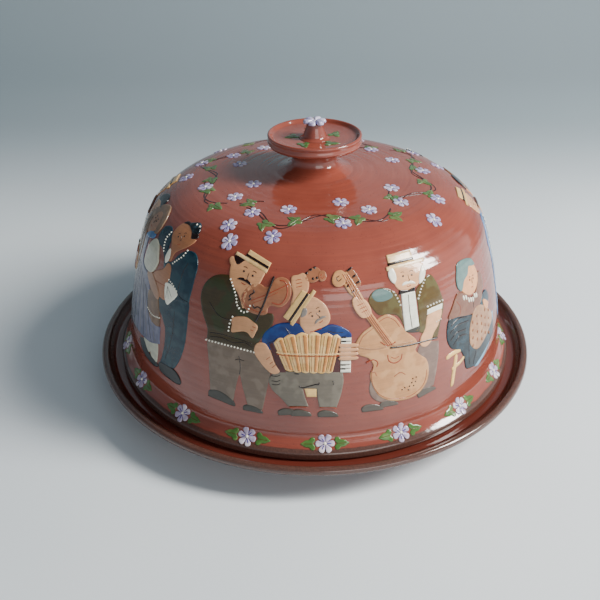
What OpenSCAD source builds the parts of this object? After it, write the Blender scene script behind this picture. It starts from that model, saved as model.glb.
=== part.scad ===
// Domed serving cover on its round platter, thrown in red clay, with a dished
// knob and a band of folk musicians laid on in coloured slips under clear glaze.
// Millimetres, +Z up, origin at the centre of the platter's foot.

/* [Platter] */
// Radius of the platter over its rolled rim
rim_r = 165; // [163:1:170]
// Height of the middle of the rolled rim
rim_z = 23.5; // [22:0.5:24]
// Radius of the rolled rim's round section
rim_bead_r = 3; // [2.5:0.5:4]
// Height of the flat seat that the cover stands on
seat_z = 20; // [18:0.5:21]
// Height of the floor of the well
well_z = 10; // [9:0.5:12]
// Outer radius of the foot ring
foot_ring_r = 100; // [80:1:110]

/* [Cover] */
// Radius of the cover at its foot lip
lip_r = 150; // [149:0.5:151]
// Radius where the flared foot band meets the wall
band_top_r = 142; // [140:0.5:143]
// Height where the flared foot band meets the wall
band_top_z = 34; // [34:0.5:38]
// Radius where the wall turns into the shoulder
shoulder_r = 122.5; // [118:0.5:124]
// Height where the wall turns into the shoulder
shoulder_z = 122; // [118:1:126]
// Height of the crown where the knob is luted on
crown_z = 158; // [156:0.5:160]
// Thickness of the thrown wall
wall_t = 6; // [5:0.5:7]

/* [Knob] */
// Radius of the knob's dished disc
knob_r = 33.2; // [30:0.1:34]
// Radius of the neck under the disc
neck_r = 15.5; // [13:0.5:16]
// Height of the middle of the disc's edge
disc_z = 180.5; // [179:0.5:184]
// Radius of the knob's foot, let into the crown
knob_foot_r = 27; // [25:0.5:28]

/* [Slip decoration] */
// Thickness of the coloured slip
slip_t = 0.7; // [0.5:0.1:1]
// Number of flowers round the foot band
foot_flower_n = 18; // [12:1:18]
// Waves of the vine in one turn of the crown
vine_waves = 8; // [6:1:10]
// Mean radius of the vine on the crown
vine_r = 76; // [72:1:80]
// How far the vine swings in and out
vine_swing = 7; // [4:1:9]

/* [Hidden] */
round_n = 96;
outline_steps = 10;
rim_arc_steps = 16;
seat_in_r = 138;
foot_lip_w = 6.5;
dark_lip_h = 5.5;
knob_seat_z = crown_z - 4;
disc_half_t = 4.6;
roll_r = 2.8;
lip_edge_r = 1.3;
finial_base_r = 9;
finial_top_r = 5.5;
finial_z = disc_z - 0.5;
finial_top_z = 191;
view_tilt = 30;
reach = 200;
feet_z = 46;
feet_r = 140;
feet_y = feet_z * cos(view_tilt) - feet_r * sin(view_tilt);
band_y = -15.5;
band_turn = 2.9;
band_leaf_at = 7;
band_leaf = 6.5;
petal_n = 6;
petal_waist = 0.62;
half_turn = [0, 180];

// Where each figure stands on the front half of the wall, in degrees from the middle.
dancer_at = -66;
partner_at = -50;
trio_at = 0;
sitter_at = 56;
flautist_at = 83;
drummer_at = 99;

// The fiddler and the bass player beside the accordion player, in the same drawing.
fiddler_place = [-50, 3];
bassist_place = [52, 3];
// The three musicians stand a little taller than the figures at the sides.
trio_scale = [1, 1.02];

// Flowers on the crown: degrees round from the middle, and radius.
crown_spots = [[-142, 63], [-120, 70], [-105, 56], [-108, 88], [-74, 78], [-60, 48],
    [-52, 67], [-36, 92], [-32, 75], [-31, 102], [-16, 93], [-15, 64], [13, 80],
    [18, 55], [30, 70], [50, 74], [52, 98], [62, 59], [67, 90], [96, 78],
    [108, 96], [113, 62], [137, 63], [-92, 92], [-130, 96], [125, 92], [155, 80],
    [170, 96], [178, 60], [-160, 78], [-165, 98]];
crown_flower_r = 5.2;
foot_flower_r = 5.8;

// A point on a cubic curve from a to d, drawn towards b and c.
function bend(a, b, c, d, t) = a * pow(1 - t, 3) + 3 * b * t * pow(1 - t, 2)
    + 3 * c * t * t * (1 - t) + d * pow(t, 3);
function bend_points(a, b, c, d) =
    [for (i = [1:outline_steps]) bend(a, b, c, d, i / outline_steps)];

// The cover's outside from the groove over the foot band to the crown's middle.
band_top = [band_top_r, band_top_z];
shoulder = [shoulder_r, shoulder_z];
crown_edge = [82, 152.3];
crown_top = [knob_foot_r, crown_z];
cover_outside = concat([band_top],
    bend_points(band_top, [138.5, 65], [131, 98], shoulder),
    bend_points(shoulder, [117.5, 135.5], [101, 149], crown_edge),
    bend_points(crown_edge, [65, 155], [45, 156], crown_top));
foot_flare = [[lip_r, seat_z + dark_lip_h], [146, 29], band_top];

// A line moved sideways by a distance, to the right of the way it runs.
function beside(line, i, far) =
    let (a = line[max(i - 1, 0)], b = line[min(i + 1, len(line) - 1)],
        along = (b - a) / norm(b - a)) line[i] + far * [along.y, -along.x];
function moved(line, far) = [for (i = [0:len(line) - 1]) beside(line, i, far)];
function backwards(line) = [for (i = [len(line) - 1:-1:0]) line[i]];

// One turned piece from its half section.
module turned(section) {
    rotate_extrude($fn = round_n) polygon(section);
}

// The thin layer that slip fills over the wall, shoulder and crown.
module slip_layer() {
    turned(concat(cover_outside, backwards(moved(cover_outside, slip_t))));
}

// The thin layer that slip fills over the flared foot band and the wall's foot.
module band_layer() {
    band = concat(foot_flare, [cover_outside[1]]);
    turned(concat(band, backwards(moved(band, slip_t))));
}

// A flat drawing laid on the wall at a place round it, feet at its origin.
module laid_on_wall(place) {
    intersection() {
        slip_layer();
        rotate([0, 0, place]) rotate([90 - view_tilt, 0, 0])
            linear_extrude(reach) translate([0, feet_y]) children();
    }
}

// The same drawing on the front and on the back of the cover.
module laid_twice(place) {
    for (turn = half_turn) laid_on_wall(place + turn) children();
}

module laid_on_band(place) {
    intersection() {
        band_layer();
        rotate([0, 0, place]) rotate([90 - view_tilt, 0, 0])
            linear_extrude(reach) translate([0, feet_y + band_y]) children();
    }
}

// Everything drawn flat, seen from above, laid on the crown.
module laid_on_crown() {
    intersection() {
        slip_layer();
        translate([0, 0, shoulder_z]) linear_extrude(crown_z) children();
    }
}

// A straight limb with round ends.
module limb(from, to, width) {
    along = to - from;
    translate(from) rotate(atan2(along.y, along.x)) {
        translate([0, -width / 2]) square([norm(along), width]);
        circle(d = width, $fn = 24);
        translate([norm(along), 0]) circle(d = width, $fn = 24);
    }
}

module blob(at, radius) {
    translate(at) circle(r = radius, $fn = 32);
}

// A straw boater seen from the side: a brim and a flat crown.
module boater(at, lean, width) {
    translate(at) rotate(lean) {
        translate([-width / 2, 0]) square([width, 2.4]);
        translate([-width * 0.36, 2.2]) square([width * 0.72, 6.2]);
    }
}

module shoe(at, lean, length) {
    translate(at) rotate(lean) limb([-length / 2 + 3, 0], [length / 2 - 3, 0], 6);
}

// One piece of a figure, cut round every piece that is listed before it.
module pick(order, piece) {
    found = search([piece], order)[0];
    difference() {
        children(found);
        for (over = [0:1:found - 1]) children(over);
    }
}

module flower(radius) {
    polygon([for (i = [0:2 * petal_n - 1]) let (a = i * 180 / petal_n)
        radius * (i % 2 == 0 ? 1 : petal_waist) * [cos(a), sin(a)]]);
}

module leaf(length) {
    polygon([[0, 0], [length * 0.3, length * 0.34], [length * 0.6, length * 0.26],
        [length, 0], [length * 0.6, -length * 0.26], [length * 0.3, -length * 0.34]]);
}

function on_circle(radius, turn) = radius * [sin(turn), -cos(turn)];
function vine_at(turn) = vine_r + vine_swing * cos(vine_waves * (turn + 16));

// --- thrown pieces -------------------------------------------------------

module platter() {
    bead_mid = [rim_r - rim_bead_r, rim_z];
    bead = [for (i = [0:rim_arc_steps]) let (a = -70 + i * 240 / rim_arc_steps)
        bead_mid + rim_bead_r * [cos(a), sin(a)]];
    color([0.62, 0.26, 0.17]) turned(concat(
        [[0, 4], [foot_ring_r - 12, 4], [foot_ring_r - 10, 0], [foot_ring_r - 2, 0],
            [foot_ring_r, 2], [foot_ring_r + 6, 5], [150, 12]],
        bead,
        [[155.5, seat_z + 0.8], [154.5, seat_z], [seat_in_r, seat_z],
            [seat_in_r - 6, well_z + 3], [seat_in_r - 14, well_z], [0, well_z]]));
}

module cover() {
    inside = backwards(moved(cover_outside, -wall_t));
    color([0.65, 0.28, 0.18]) turned(concat(
        [[lip_r - foot_lip_w, seat_z], [lip_r - 1.2, seat_z], [lip_r, seat_z + 1.5]],
        foot_flare,
        cover_outside,
        [[knob_foot_r, knob_seat_z], [0, knob_seat_z], [0, knob_seat_z - 3]],
        [for (p = inside) if (p.x > 2) [p.x, min(p.y, knob_seat_z - 3)]],
        [[lip_r - foot_lip_w - 2, band_top_z - 6]]));
}

module knob() {
    neck_top = [neck_r, crown_z + 10];
    neck_side = concat([crown_top],
        bend_points(crown_top, [19, crown_z + 2], [neck_r, crown_z + 5], neck_top),
        bend_points(neck_top, neck_top + [0, 4], [neck_top.x + 5, neck_top.y + 7],
            [knob_r - roll_r - 1, disc_z - disc_half_t]));
    roll = [for (i = [0:6]) let (a = -80 + i * 20)
        [knob_r - roll_r + roll_r * cos(a), disc_z + roll_r * (sin(a) - 0.6)]];
    lip_edge = [for (i = [0:6]) let (a = -20 + i * 25)
        [knob_r - 0.3 + lip_edge_r * (cos(a) - 1), disc_z + 2.2 + lip_edge_r * sin(a)]];
    color([0.66, 0.29, 0.18]) turned(concat(
        [[0, knob_seat_z], [knob_foot_r, knob_seat_z]],
        neck_side, roll, lip_edge,
        [[knob_r - 4.5, disc_z + 0.9], [22, disc_z], [0, finial_z]]));
}

module finial() {
    color([0.64, 0.27, 0.17]) turned([[0, finial_z], [finial_base_r + 2, finial_z + 0.25],
        [finial_base_r - 0.5, finial_z + 2], [finial_top_r + 0.6, finial_top_z - 3],
        [finial_top_r, finial_top_z], [0, finial_top_z]]);
}

module finial_flower() {
    color([0.67, 0.66, 0.82]) translate([0, 0, finial_top_z]) linear_extrude(4)
        flower(8);
}

module finial_leaves() {
    color([0.36, 0.55, 0.3]) for (i = [0:4]) rotate([0, 0, 36 + i * 72])
        translate([0, -17.5, finial_z + 0.5]) rotate([0, 0, 60]) linear_extrude(0.8)
            leaf(7);
}

// --- slip on the crown and the foot band -----------------------------------

module vine_stem() {
    steps = vine_waves * 8;
    outer = [for (i = [0:steps - 1]) let (a = i * 360 / steps)
        on_circle(vine_at(a) + 0.7, a)];
    inner = [for (i = [0:steps - 1]) let (a = i * 360 / steps)
        on_circle(vine_at(a) - 0.7, a)];
    color([0.3, 0.16, 0.15]) laid_on_crown() difference() {
        polygon(outer);
        polygon(inner);
        crown_leaf_drawing();
        crown_flower_drawing();
    }
}

module crown_leaf_drawing() {
    count = vine_waves * 3;
    for (i = [0:count - 1]) let (a = 7 + i * 360 / count, out = i % 2 == 0 ? 1 : -1)
        translate(on_circle(vine_at(a) + out * 2, a)) rotate(a - 90 + out * 65) leaf(8);
}

module crown_flower_drawing() {
    for (spot = crown_spots) translate(on_circle(spot.y, spot.x)) rotate(spot.x)
        flower(crown_flower_r);
}

module vine_leaves() {
    color([0.4, 0.56, 0.32]) laid_on_crown() difference() {
        crown_leaf_drawing();
        crown_flower_drawing();
    }
}

module crown_flowers() {
    color([0.67, 0.66, 0.82]) laid_on_crown() crown_flower_drawing();
}

module foot_flowers() {
    color([0.7, 0.66, 0.8]) for (i = [0:foot_flower_n - 1])
        laid_on_band(band_turn + i * 360 / foot_flower_n) flower(foot_flower_r);
}

module foot_leaves() {
    color([0.4, 0.6, 0.35]) for (i = [0:foot_flower_n - 1])
        laid_on_band(band_turn + i * 360 / foot_flower_n) {
            translate([band_leaf_at, 0]) leaf(band_leaf);
            translate([-band_leaf_at, 0]) rotate(180) leaf(band_leaf);
        }
}

// --- the dancing pair ------------------------------------------------------

module dancer(piece) {
    order = ["skin", "linen", "dress", "hair"];
    pick(order, piece) {
        union() {
            blob([-1, 88], 7.5);
            limb([13, 56], [19, 52], 4.5);
        }
        union() {
            limb([9, 75], [11, 61], 8);
            limb([-6, 9], [-6, 3], 4.5);
            limb([7, 8], [8, 2], 4.5);
        }
        polygon([[-7, 78], [5, 78], [8, 52], [15, 26], [17, 10], [-15, 12], [-12, 40]]);
        blob([-2, 91], 8.5);
    }
}

module dancer_skin() {
    color([0.72, 0.53, 0.42]) laid_twice(dancer_at) dancer("skin");
}

module dancer_linen() {
    color([0.85, 0.82, 0.76]) laid_twice(dancer_at) dancer("linen");
}

module dancer_dress() {
    color([0.5, 0.52, 0.66]) laid_twice(dancer_at) dancer("dress");
}

module dancer_hair() {
    color([0.3, 0.24, 0.2]) laid_twice(dancer_at) dancer("hair");
}

module partner(piece) {
    order = ["beret", "skin", "suit", "shoes"];
    pick(order, piece) {
        polygon([[-9, 97], [-5, 104], [5, 105], [9, 99], [6, 95], [-3, 98]]);
        union() {
            blob([-2, 92], 8);
            limb([-11, 52], [-6, 50], 4.5);
        }
        polygon([[-10, 58], [-9, 80], [-3, 85], [8, 84], [14, 74], [15, 46], [12, 8],
            [2, 6], [0, 26], [-3, 8], [-11, 8], [-8, 45]]);
        union() {
            shoe([-8, 4], -5, 12);
            shoe([9, 2], -25, 13);
        }
    }
}

module partner_beret() {
    color([0.1, 0.13, 0.14]) laid_twice(partner_at) partner("beret");
}

module partner_skin() {
    color([0.7, 0.5, 0.38]) laid_twice(partner_at) partner("skin");
}

module partner_suit() {
    color([0.15, 0.31, 0.37]) laid_twice(partner_at) partner("suit");
}

module partner_shoes() {
    color([0.2, 0.21, 0.2]) laid_twice(partner_at) partner("shoes");
}

// --- the fiddler, the accordion player and the bass player -----------------

module trio(piece) {
    order = ["accordionist_hat", "accordion_bellows", "accordionist_skin",
        "accordion_ends", "accordionist_shirt", "accordionist_trousers",
        "accordionist_stool", "accordionist_shoes", "fiddler_hat", "fiddler_skin",
        "fiddle", "fiddler_jacket", "fiddler_trousers", "fiddler_shoes", "bassist_hat",
        "bassist_skin", "double_bass", "bassist_shirt_front", "bassist_jacket",
        "bassist_trousers", "bassist_shoes"];
    scale(trio_scale) pick(order, piece) {
        boater([-5, 70], 50, 24);
        polygon([[-25, 46], [-18, 48], [-11, 50], [-3, 51], [5, 51], [18, 50], [16, 29],
            [-18, 28]]);
        union() {
            blob([4, 68], 9);
            limb([-31, 37], [-27, 30], 6);
        }
        union() {
            polygon([[-28, 45], [-24, 46], [-17, 28], [-21, 28]]);
            polygon([[17, 50], [23, 50], [21, 29], [15, 29]]);
        }
        polygon([[-31, 44], [-27, 56], [-18, 60], [-6, 57], [14, 60], [24, 56], [25, 50],
            [18, 48], [-20, 44], [-26, 40]]);
        polygon([[-27, 22], [-22, 30], [18, 30], [20, 20], [16, 7], [5, 7], [3, 20],
            [-4, 20], [-5, 7], [-17, 7]]);
        polygon([[-6, 21], [5, 21], [5, 15], [-6, 15]]);
        union() {
            shoe([-11, 3], 0, 18);
            shoe([11, 3], 0, 12);
        }
        translate(fiddler_place) boater([11, 97], -22, 25);
        translate(fiddler_place) union() {
            blob([9, 90], 9);
            limb([2, 56], [14, 52], 7);
            limb([47, 89], [44, 81], 6);
        }
        translate(fiddler_place) translate([19, 72]) rotate(22) {
            blob([0, 0], 8.5);
            blob([13, 0], 7);
            limb([20, 0], [34, 0], 3);
            blob([39, 1], 4);
        }
        translate(fiddler_place) polygon([[-20, 62], [-18, 76], [-11, 84], [0, 85],
            [8, 66], [17, 60], [22, 56], [20, 44], [16, 40], [-16, 44]]);
        translate(fiddler_place) polygon([[-15, 44], [16, 40], [20, 20], [14, 4], [4, 4],
            [2, 27], [-2, 27], [-3, 8], [-14, 8]]);
        translate(fiddler_place) union() {
            shoe([-8, 5], -12, 16);
            shoe([9, 1], -8, 13);
        }
        translate(bassist_place) boater([2, 98], 12, 24);
        translate(bassist_place) union() {
            blob([4, 92], 9.2);
            limb([25, 56], [20, 46], 7);
            limb([-27, 66], [-23, 59], 5);
        }
        translate(bassist_place) union() {
            blob([-3, 22], 15);
            blob([-12, 44], 10.5);
            polygon([[-17, 24], [-20, 42], [-3, 48], [10, 30]]);
            limb([-16, 48], [-33, 78], 3);
            blob([-34, 81], 4.5);
        }
        translate(bassist_place) polygon([[0, 83], [10, 83], [9, 56], [1, 58]]);
        translate(bassist_place) polygon([[-24, 70], [-20, 78], [-12, 82], [0, 84],
            [20, 84], [27, 76], [31, 62], [26, 56], [20, 46], [-12, 50], [-18, 62]]);
        translate(bassist_place) polygon([[4, 46], [26, 47], [25, 14], [15, 12]]);
        translate(bassist_place) union() {
            shoe([-17, 2], 12, 15);
            shoe([20, 9], 18, 12);
        }
    }
}

module accordionist_hat() {
    color([0.82, 0.66, 0.46]) laid_twice(trio_at) trio("accordionist_hat");
}

module accordion_bellows() {
    color([0.83, 0.65, 0.42]) laid_twice(trio_at) trio("accordion_bellows");
}

module accordionist_skin() {
    color([0.78, 0.57, 0.44]) laid_twice(trio_at) trio("accordionist_skin");
}

module accordion_ends() {
    color([0.25, 0.15, 0.14]) laid_twice(trio_at) trio("accordion_ends");
}

module accordionist_shirt() {
    color([0.1, 0.22, 0.42]) laid_twice(trio_at) trio("accordionist_shirt");
}

module accordionist_trousers() {
    color([0.28, 0.27, 0.25]) laid_twice(trio_at) trio("accordionist_trousers");
}

module accordionist_stool() {
    color([0.83, 0.66, 0.44]) laid_twice(trio_at) trio("accordionist_stool");
}

module accordionist_shoes() {
    color([0.27, 0.26, 0.24]) laid_twice(trio_at) trio("accordionist_shoes");
}

module fiddler_hat() {
    color([0.82, 0.66, 0.46]) laid_twice(trio_at) trio("fiddler_hat");
}

module fiddler_skin() {
    color([0.76, 0.55, 0.42]) laid_twice(trio_at) trio("fiddler_skin");
}

module fiddle() {
    color([0.6, 0.4, 0.3]) laid_twice(trio_at) trio("fiddle");
}

module fiddler_jacket() {
    color([0.27, 0.25, 0.17]) laid_twice(trio_at) trio("fiddler_jacket");
}

module fiddler_trousers() {
    color([0.47, 0.4, 0.36]) laid_twice(trio_at) trio("fiddler_trousers");
}

module fiddler_shoes() {
    color([0.27, 0.26, 0.24]) laid_twice(trio_at) trio("fiddler_shoes");
}

module bassist_hat() {
    color([0.85, 0.71, 0.5]) laid_twice(trio_at) trio("bassist_hat");
}

module bassist_skin() {
    color([0.82, 0.66, 0.56]) laid_twice(trio_at) trio("bassist_skin");
}

module double_bass() {
    color([0.68, 0.51, 0.37]) laid_twice(trio_at) trio("double_bass");
}

module bassist_shirt_front() {
    color([0.88, 0.85, 0.78]) laid_twice(trio_at) trio("bassist_shirt_front");
}

module bassist_jacket() {
    color([0.34, 0.29, 0.18]) laid_twice(trio_at) trio("bassist_jacket");
}

module bassist_trousers() {
    color([0.45, 0.4, 0.38]) laid_twice(trio_at) trio("bassist_trousers");
}

module bassist_shoes() {
    color([0.3, 0.29, 0.27]) laid_twice(trio_at) trio("bassist_shoes");
}

// --- the seated woman ------------------------------------------------------

module sitter(piece) {
    order = ["basket", "skin", "hair", "bodice", "skirt", "stool"];
    pick(order, piece) {
        blob([16, 46], 9.6);
        union() {
            blob([4, 75], 7.6);
            limb([20, 60], [24, 56], 4.5);
        }
        blob([-0.5, 79], 9);
        polygon([[-13, 46], [-11, 62], [-4, 68], [8, 68], [13, 58], [12, 46]]);
        polygon([[-14, 46], [12, 46], [24, 36], [22, 20], [14, 12], [4, 12], [2, 26],
            [-12, 28]]);
        union() {
            limb([-13, 22], [-3, 26], 3.4);
            limb([-6, 22], [-9, 3], 3.4);
        }
    }
}

module sitter_basket() {
    color([0.66, 0.5, 0.37]) laid_twice(sitter_at) sitter("basket");
}

module sitter_skin() {
    color([0.78, 0.58, 0.45]) laid_twice(sitter_at) sitter("skin");
}

module sitter_hair() {
    color([0.42, 0.49, 0.5]) laid_twice(sitter_at) sitter("hair");
}

module sitter_bodice() {
    color([0.5, 0.35, 0.3]) laid_twice(sitter_at) sitter("bodice");
}

module sitter_skirt() {
    color([0.15, 0.23, 0.29]) laid_twice(sitter_at) sitter("skirt");
}

module sitter_stool() {
    color([0.83, 0.66, 0.44]) laid_twice(sitter_at) sitter("stool");
}

// --- the flute player and the drummer --------------------------------------

module flautist(piece) {
    order = ["flute", "hat", "skin", "coat"];
    pick(order, piece) {
        limb([6, 87.5], [26, 85], 2.4);
        boater([0, 99], 8, 22);
        union() {
            blob([1, 93], 8);
            limb([14, 78], [18, 84], 4.5);
        }
        polygon([[-12, 60], [-10, 78], [-3, 84], [8, 84], [14, 74], [13, 44], [15, 8],
            [3, 8], [1, 26], [-2, 8], [-13, 8], [-11, 44]]);
    }
}

module flute() {
    color([0.35, 0.22, 0.17]) laid_twice(flautist_at) flautist("flute");
}

module flautist_hat() {
    color([0.82, 0.66, 0.46]) laid_twice(flautist_at) flautist("hat");
}

module flautist_skin() {
    color([0.76, 0.56, 0.43]) laid_twice(flautist_at) flautist("skin");
}

module flautist_coat() {
    color([0.25, 0.4, 0.58]) laid_twice(flautist_at) flautist("coat");
}

module drummer(piece) {
    order = ["hat", "drum", "skin", "waistcoat", "breeches"];
    pick(order, piece) {
        polygon([[-8, 95], [-6, 102], [6, 103], [10, 96]]);
        blob([2, 53], 9.5);
        union() {
            blob([1, 91], 8);
            limb([-15, 64], [-12, 56], 4.5);
        }
        polygon([[-12, 60], [-11, 76], [-4, 82], [7, 82], [13, 74], [14, 58], [10, 42],
            [-9, 42]]);
        union() {
            polygon([[-9, 42], [10, 42], [13, 8], [4, 8], [1, 26], [-3, 8], [-12, 8]]);
            shoe([-9, 4], 0, 12);
            shoe([10, 4], 0, 12);
        }
    }
}

module drummer_hat() {
    color([0.13, 0.15, 0.16]) laid_twice(drummer_at) drummer("hat");
}

module drum() {
    color([0.8, 0.7, 0.55]) laid_twice(drummer_at) drummer("drum");
}

module drummer_skin() {
    color([0.76, 0.56, 0.43]) laid_twice(drummer_at) drummer("skin");
}

module drummer_waistcoat() {
    color([0.4, 0.3, 0.2]) laid_twice(drummer_at) drummer("waistcoat");
}

module drummer_breeches() {
    color([0.3, 0.32, 0.34]) laid_twice(drummer_at) drummer("breeches");
}

platter();
cover();
knob();
finial();
finial_flower();
finial_leaves();
vine_stem();
vine_leaves();
crown_flowers();
foot_flowers();
foot_leaves();
dancer_dress();
dancer_linen();
dancer_skin();
dancer_hair();
partner_suit();
partner_skin();
partner_beret();
partner_shoes();
fiddler_jacket();
fiddler_trousers();
fiddler_skin();
fiddler_hat();
fiddler_shoes();
fiddle();
accordionist_shirt();
accordionist_trousers();
accordionist_skin();
accordionist_hat();
accordionist_shoes();
accordion_bellows();
accordion_ends();
accordionist_stool();
bassist_jacket();
bassist_shirt_front();
bassist_trousers();
bassist_skin();
bassist_hat();
bassist_shoes();
double_bass();
sitter_bodice();
sitter_skirt();
sitter_skin();
sitter_hair();
sitter_basket();
sitter_stool();
flautist_coat();
flautist_skin();
flautist_hat();
flute();
drummer_waistcoat();
drummer_breeches();
drummer_skin();
drummer_hat();
drum();
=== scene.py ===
import math

import bmesh
import bpy
import numpy as np
from mathutils import Matrix, Vector
from mathutils.geometry import delaunay_2d_cdt


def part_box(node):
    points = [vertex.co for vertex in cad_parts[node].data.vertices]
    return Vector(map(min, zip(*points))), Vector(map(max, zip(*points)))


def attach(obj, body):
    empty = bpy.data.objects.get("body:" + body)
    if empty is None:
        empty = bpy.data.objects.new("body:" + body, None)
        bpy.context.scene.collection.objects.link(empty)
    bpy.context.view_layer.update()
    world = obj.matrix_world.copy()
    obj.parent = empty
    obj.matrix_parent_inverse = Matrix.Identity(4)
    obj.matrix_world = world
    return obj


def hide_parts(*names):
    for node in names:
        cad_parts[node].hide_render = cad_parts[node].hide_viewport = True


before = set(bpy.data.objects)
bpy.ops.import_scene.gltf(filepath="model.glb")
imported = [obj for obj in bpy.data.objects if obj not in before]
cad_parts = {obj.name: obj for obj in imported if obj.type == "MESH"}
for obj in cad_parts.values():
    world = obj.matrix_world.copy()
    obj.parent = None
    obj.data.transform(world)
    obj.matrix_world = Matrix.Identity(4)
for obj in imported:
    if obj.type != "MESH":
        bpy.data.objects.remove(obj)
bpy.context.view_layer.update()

MM = 0.001
GLAZE_IOR = 1.64
SLIP_IOR = 1.5
# the band's figures stand on the front and again on the back
BOTH_SIDES = (0, 180)

# --- camera ----------------------------------------------------------------------

camera = bpy.data.objects.new("camera", bpy.data.cameras.new("camera"))
bpy.context.scene.collection.objects.link(camera)
bpy.context.scene.camera = camera
camera.data.lens = 46.7
camera.data.sensor_width = 36
camera.matrix_world = (
    Matrix.Translation((0, -0.518, 0.365))
    @ Matrix.Rotation(0.021, 4, "Z")
    @ Matrix.Rotation(math.pi / 2 - 0.548, 4, "X")
    @ Matrix.Rotation(-0.007, 4, "Z")
)

# --- material maths --------------------------------------------------------------


class Wire:
    """One output in a material, which takes part in sums as a number does."""

    def __init__(self, finish, socket):
        self.finish = finish
        self.socket = socket

    def maths(self, operation, first, second, clamp=False):
        settings = {"operation": operation, "use_clamp": clamp}
        return self.finish.add("Math", settings, {0: first, 1: second})

    def __add__(self, other):
        return self.maths("ADD", self, other)

    def __radd__(self, other):
        return self.maths("ADD", other, self)

    def __sub__(self, other):
        return self.maths("SUBTRACT", self, other)

    def __rsub__(self, other):
        return self.maths("SUBTRACT", other, self)

    def __mul__(self, other):
        return self.maths("MULTIPLY", self, other)

    def __rmul__(self, other):
        return self.maths("MULTIPLY", other, self)

    def __pow__(self, other):
        return self.maths("POWER", self, other)

    def rise(self, low, high):
        """0 below low, 1 above high and a smooth step between them."""
        return self.finish.add(
            "MapRange",
            {"interpolation_type": "SMOOTHSTEP"},
            {"Value": self, "From Min": low, "From Max": high},
        )


class Finish:
    """One material, made node by node."""

    def __init__(self, name):
        self.material = bpy.data.materials.new(name)
        self.material.use_nodes = True
        self.tree = self.material.node_tree
        self.tree.nodes.clear()

    def add(self, kind, settings=None, sockets=None, out=0):
        """Any node: its settings first, then the values or wires of its sockets."""
        node = self.tree.nodes.new("ShaderNode" + kind)
        for key, value in (settings or {}).items():
            setattr(node, key, value)
        for key, value in (sockets or {}).items():
            if isinstance(value, Wire):
                self.tree.links.new(value.socket, node.inputs[key])
            else:
                node.inputs[key].default_value = value
        return Wire(self, node.outputs[out])

    def mix(self, mask, under, over, blend="MIX"):
        """The colour under where the mask is 0 and over where it is 1."""
        settings = {"data_type": "RGBA", "blend_type": blend}
        return self.add("Mix", settings, {0: mask, 6: under, 7: over}, out=2)

    def noise(self, place, scale, detail=2.0, roughness=0.5):
        sockets = {"Vector": place, "Scale": scale, "Detail": detail, "Roughness": roughness}
        return self.add("TexNoise", None, sockets)

    def split(self, vector):
        """The x, y and z of a vector."""
        return [self.add("SeparateXYZ", None, {0: vector}, out=axis) for axis in range(3)]

    def spread(self, x, y, z):
        return self.add("CombineXYZ", None, {"X": x, "Y": y, "Z": z})

    def close(self, colour, roughness, height, depth, ior=SLIP_IOR):
        """The shader itself, with the height in millimetres as its relief."""
        relief = self.add(
            "Bump", None, {"Height": height, "Distance": depth * MM, "Strength": 1.0}
        )
        sockets = {
            "Base Color": colour,
            "Roughness": roughness,
            "Normal": relief,
            "IOR": ior,
        }
        surface = self.add("BsdfPrincipled", None, sockets)
        self.finish_with("OutputMaterial", surface)
        return self.material

    def finish_with(self, kind, surface):
        output = self.tree.nodes.new("ShaderNode" + kind)
        self.tree.links.new(surface.socket, output.inputs["Surface"])


def tone(red, green, blue):
    """A colour from its display values out of 255."""
    linear = [((c / 255 + 0.055) / 1.055) ** 2.4 for c in (red, green, blue)]
    return (*linear, 1.0)


class Clay(Finish):
    """A finish on turned clay: it knows where a point lies round and along the pot."""

    def __init__(self, name):
        super().__init__(name)
        local = self.add("TexCoord", out="Object")
        self.place = self.add("VectorMath", {"operation": "SCALE"}, {0: local, "Scale": 1 / MM})
        self.x, self.y, self.z = self.split(self.place)
        self.radius = (self.x * self.x + self.y * self.y) ** 0.5
        self.run = self.z - self.radius
        self.marks = self.noise(self.spread(self.x * 0.012, self.y * 0.012, self.run), 0.42, 3.0, 0.6)
        self.streaks = self.noise(self.spread(self.x * 0.03, self.y * 0.03, self.run), 0.9, 2.0)
        self.clouds = self.noise(self.place, 0.035, 3.0)
        self.grain = self.noise(self.place, 0.9, 3.0, 0.7)

    def specks(self, scale, size):
        """Small scattered spots of iron."""
        cells = self.add(
            "TexVoronoi", {"feature": "F1"}, {"Vector": self.place, "Scale": scale}
        )
        return (1 - cells.rise(size * 0.5, size)) * self.noise(self.place, 0.12).rise(0.45, 0.6)

    def relief(self):
        return self.marks * 0.6 + self.streaks * 0.25 + self.noise(self.place, 0.3) * 0.5


def red_glaze(name, dark=None):
    """Clear glaze over red clay, with dark slip where the second mask is 1; where the first mask is 1 the
    red is painted darker, which is the dark lip on the cover and painted shade on the platter's seat.
    """
    clay = Clay(name)
    warm = clay.mix(clay.clouds.rise(0.3, 0.7), tone(124, 61, 49), tone(136, 69, 55))
    ringed = clay.mix(clay.marks.rise(0.4, 0.7) * 0.14, warm, tone(100, 38, 27))
    streaked = clay.mix(clay.streaks.rise(0.5, 0.75) * 0.12, ringed, tone(176, 84, 58))
    spotted = clay.mix(clay.specks(0.55, 0.16) * 0.8, streaked, tone(52, 20, 16))
    colour = spotted
    if dark is not None:
        slip_and_shade, rim = dark(clay)
        slip = clay.mix(clay.grain.rise(0.35, 0.7), tone(72, 50, 44), tone(90, 62, 53))
        thin = clay.mix(clay.streaks.rise(0.66, 0.8) * 0.35, slip, tone(104, 48, 36))
        # painted shade: the first mask darkens the red clay; on the platter's seat it is partly dark slip
        # and partly painted shade beside the cover's lip
        red = clay.mix(slip_and_shade, spotted, tone(92, 40, 31))
        colour = clay.mix(rim, red, thin)
    roughness = 0.06 + clay.clouds * 0.05 + clay.grain * 0.03
    return clay.close(colour, roughness, clay.relief(), 0.11, GLAZE_IOR)


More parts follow.
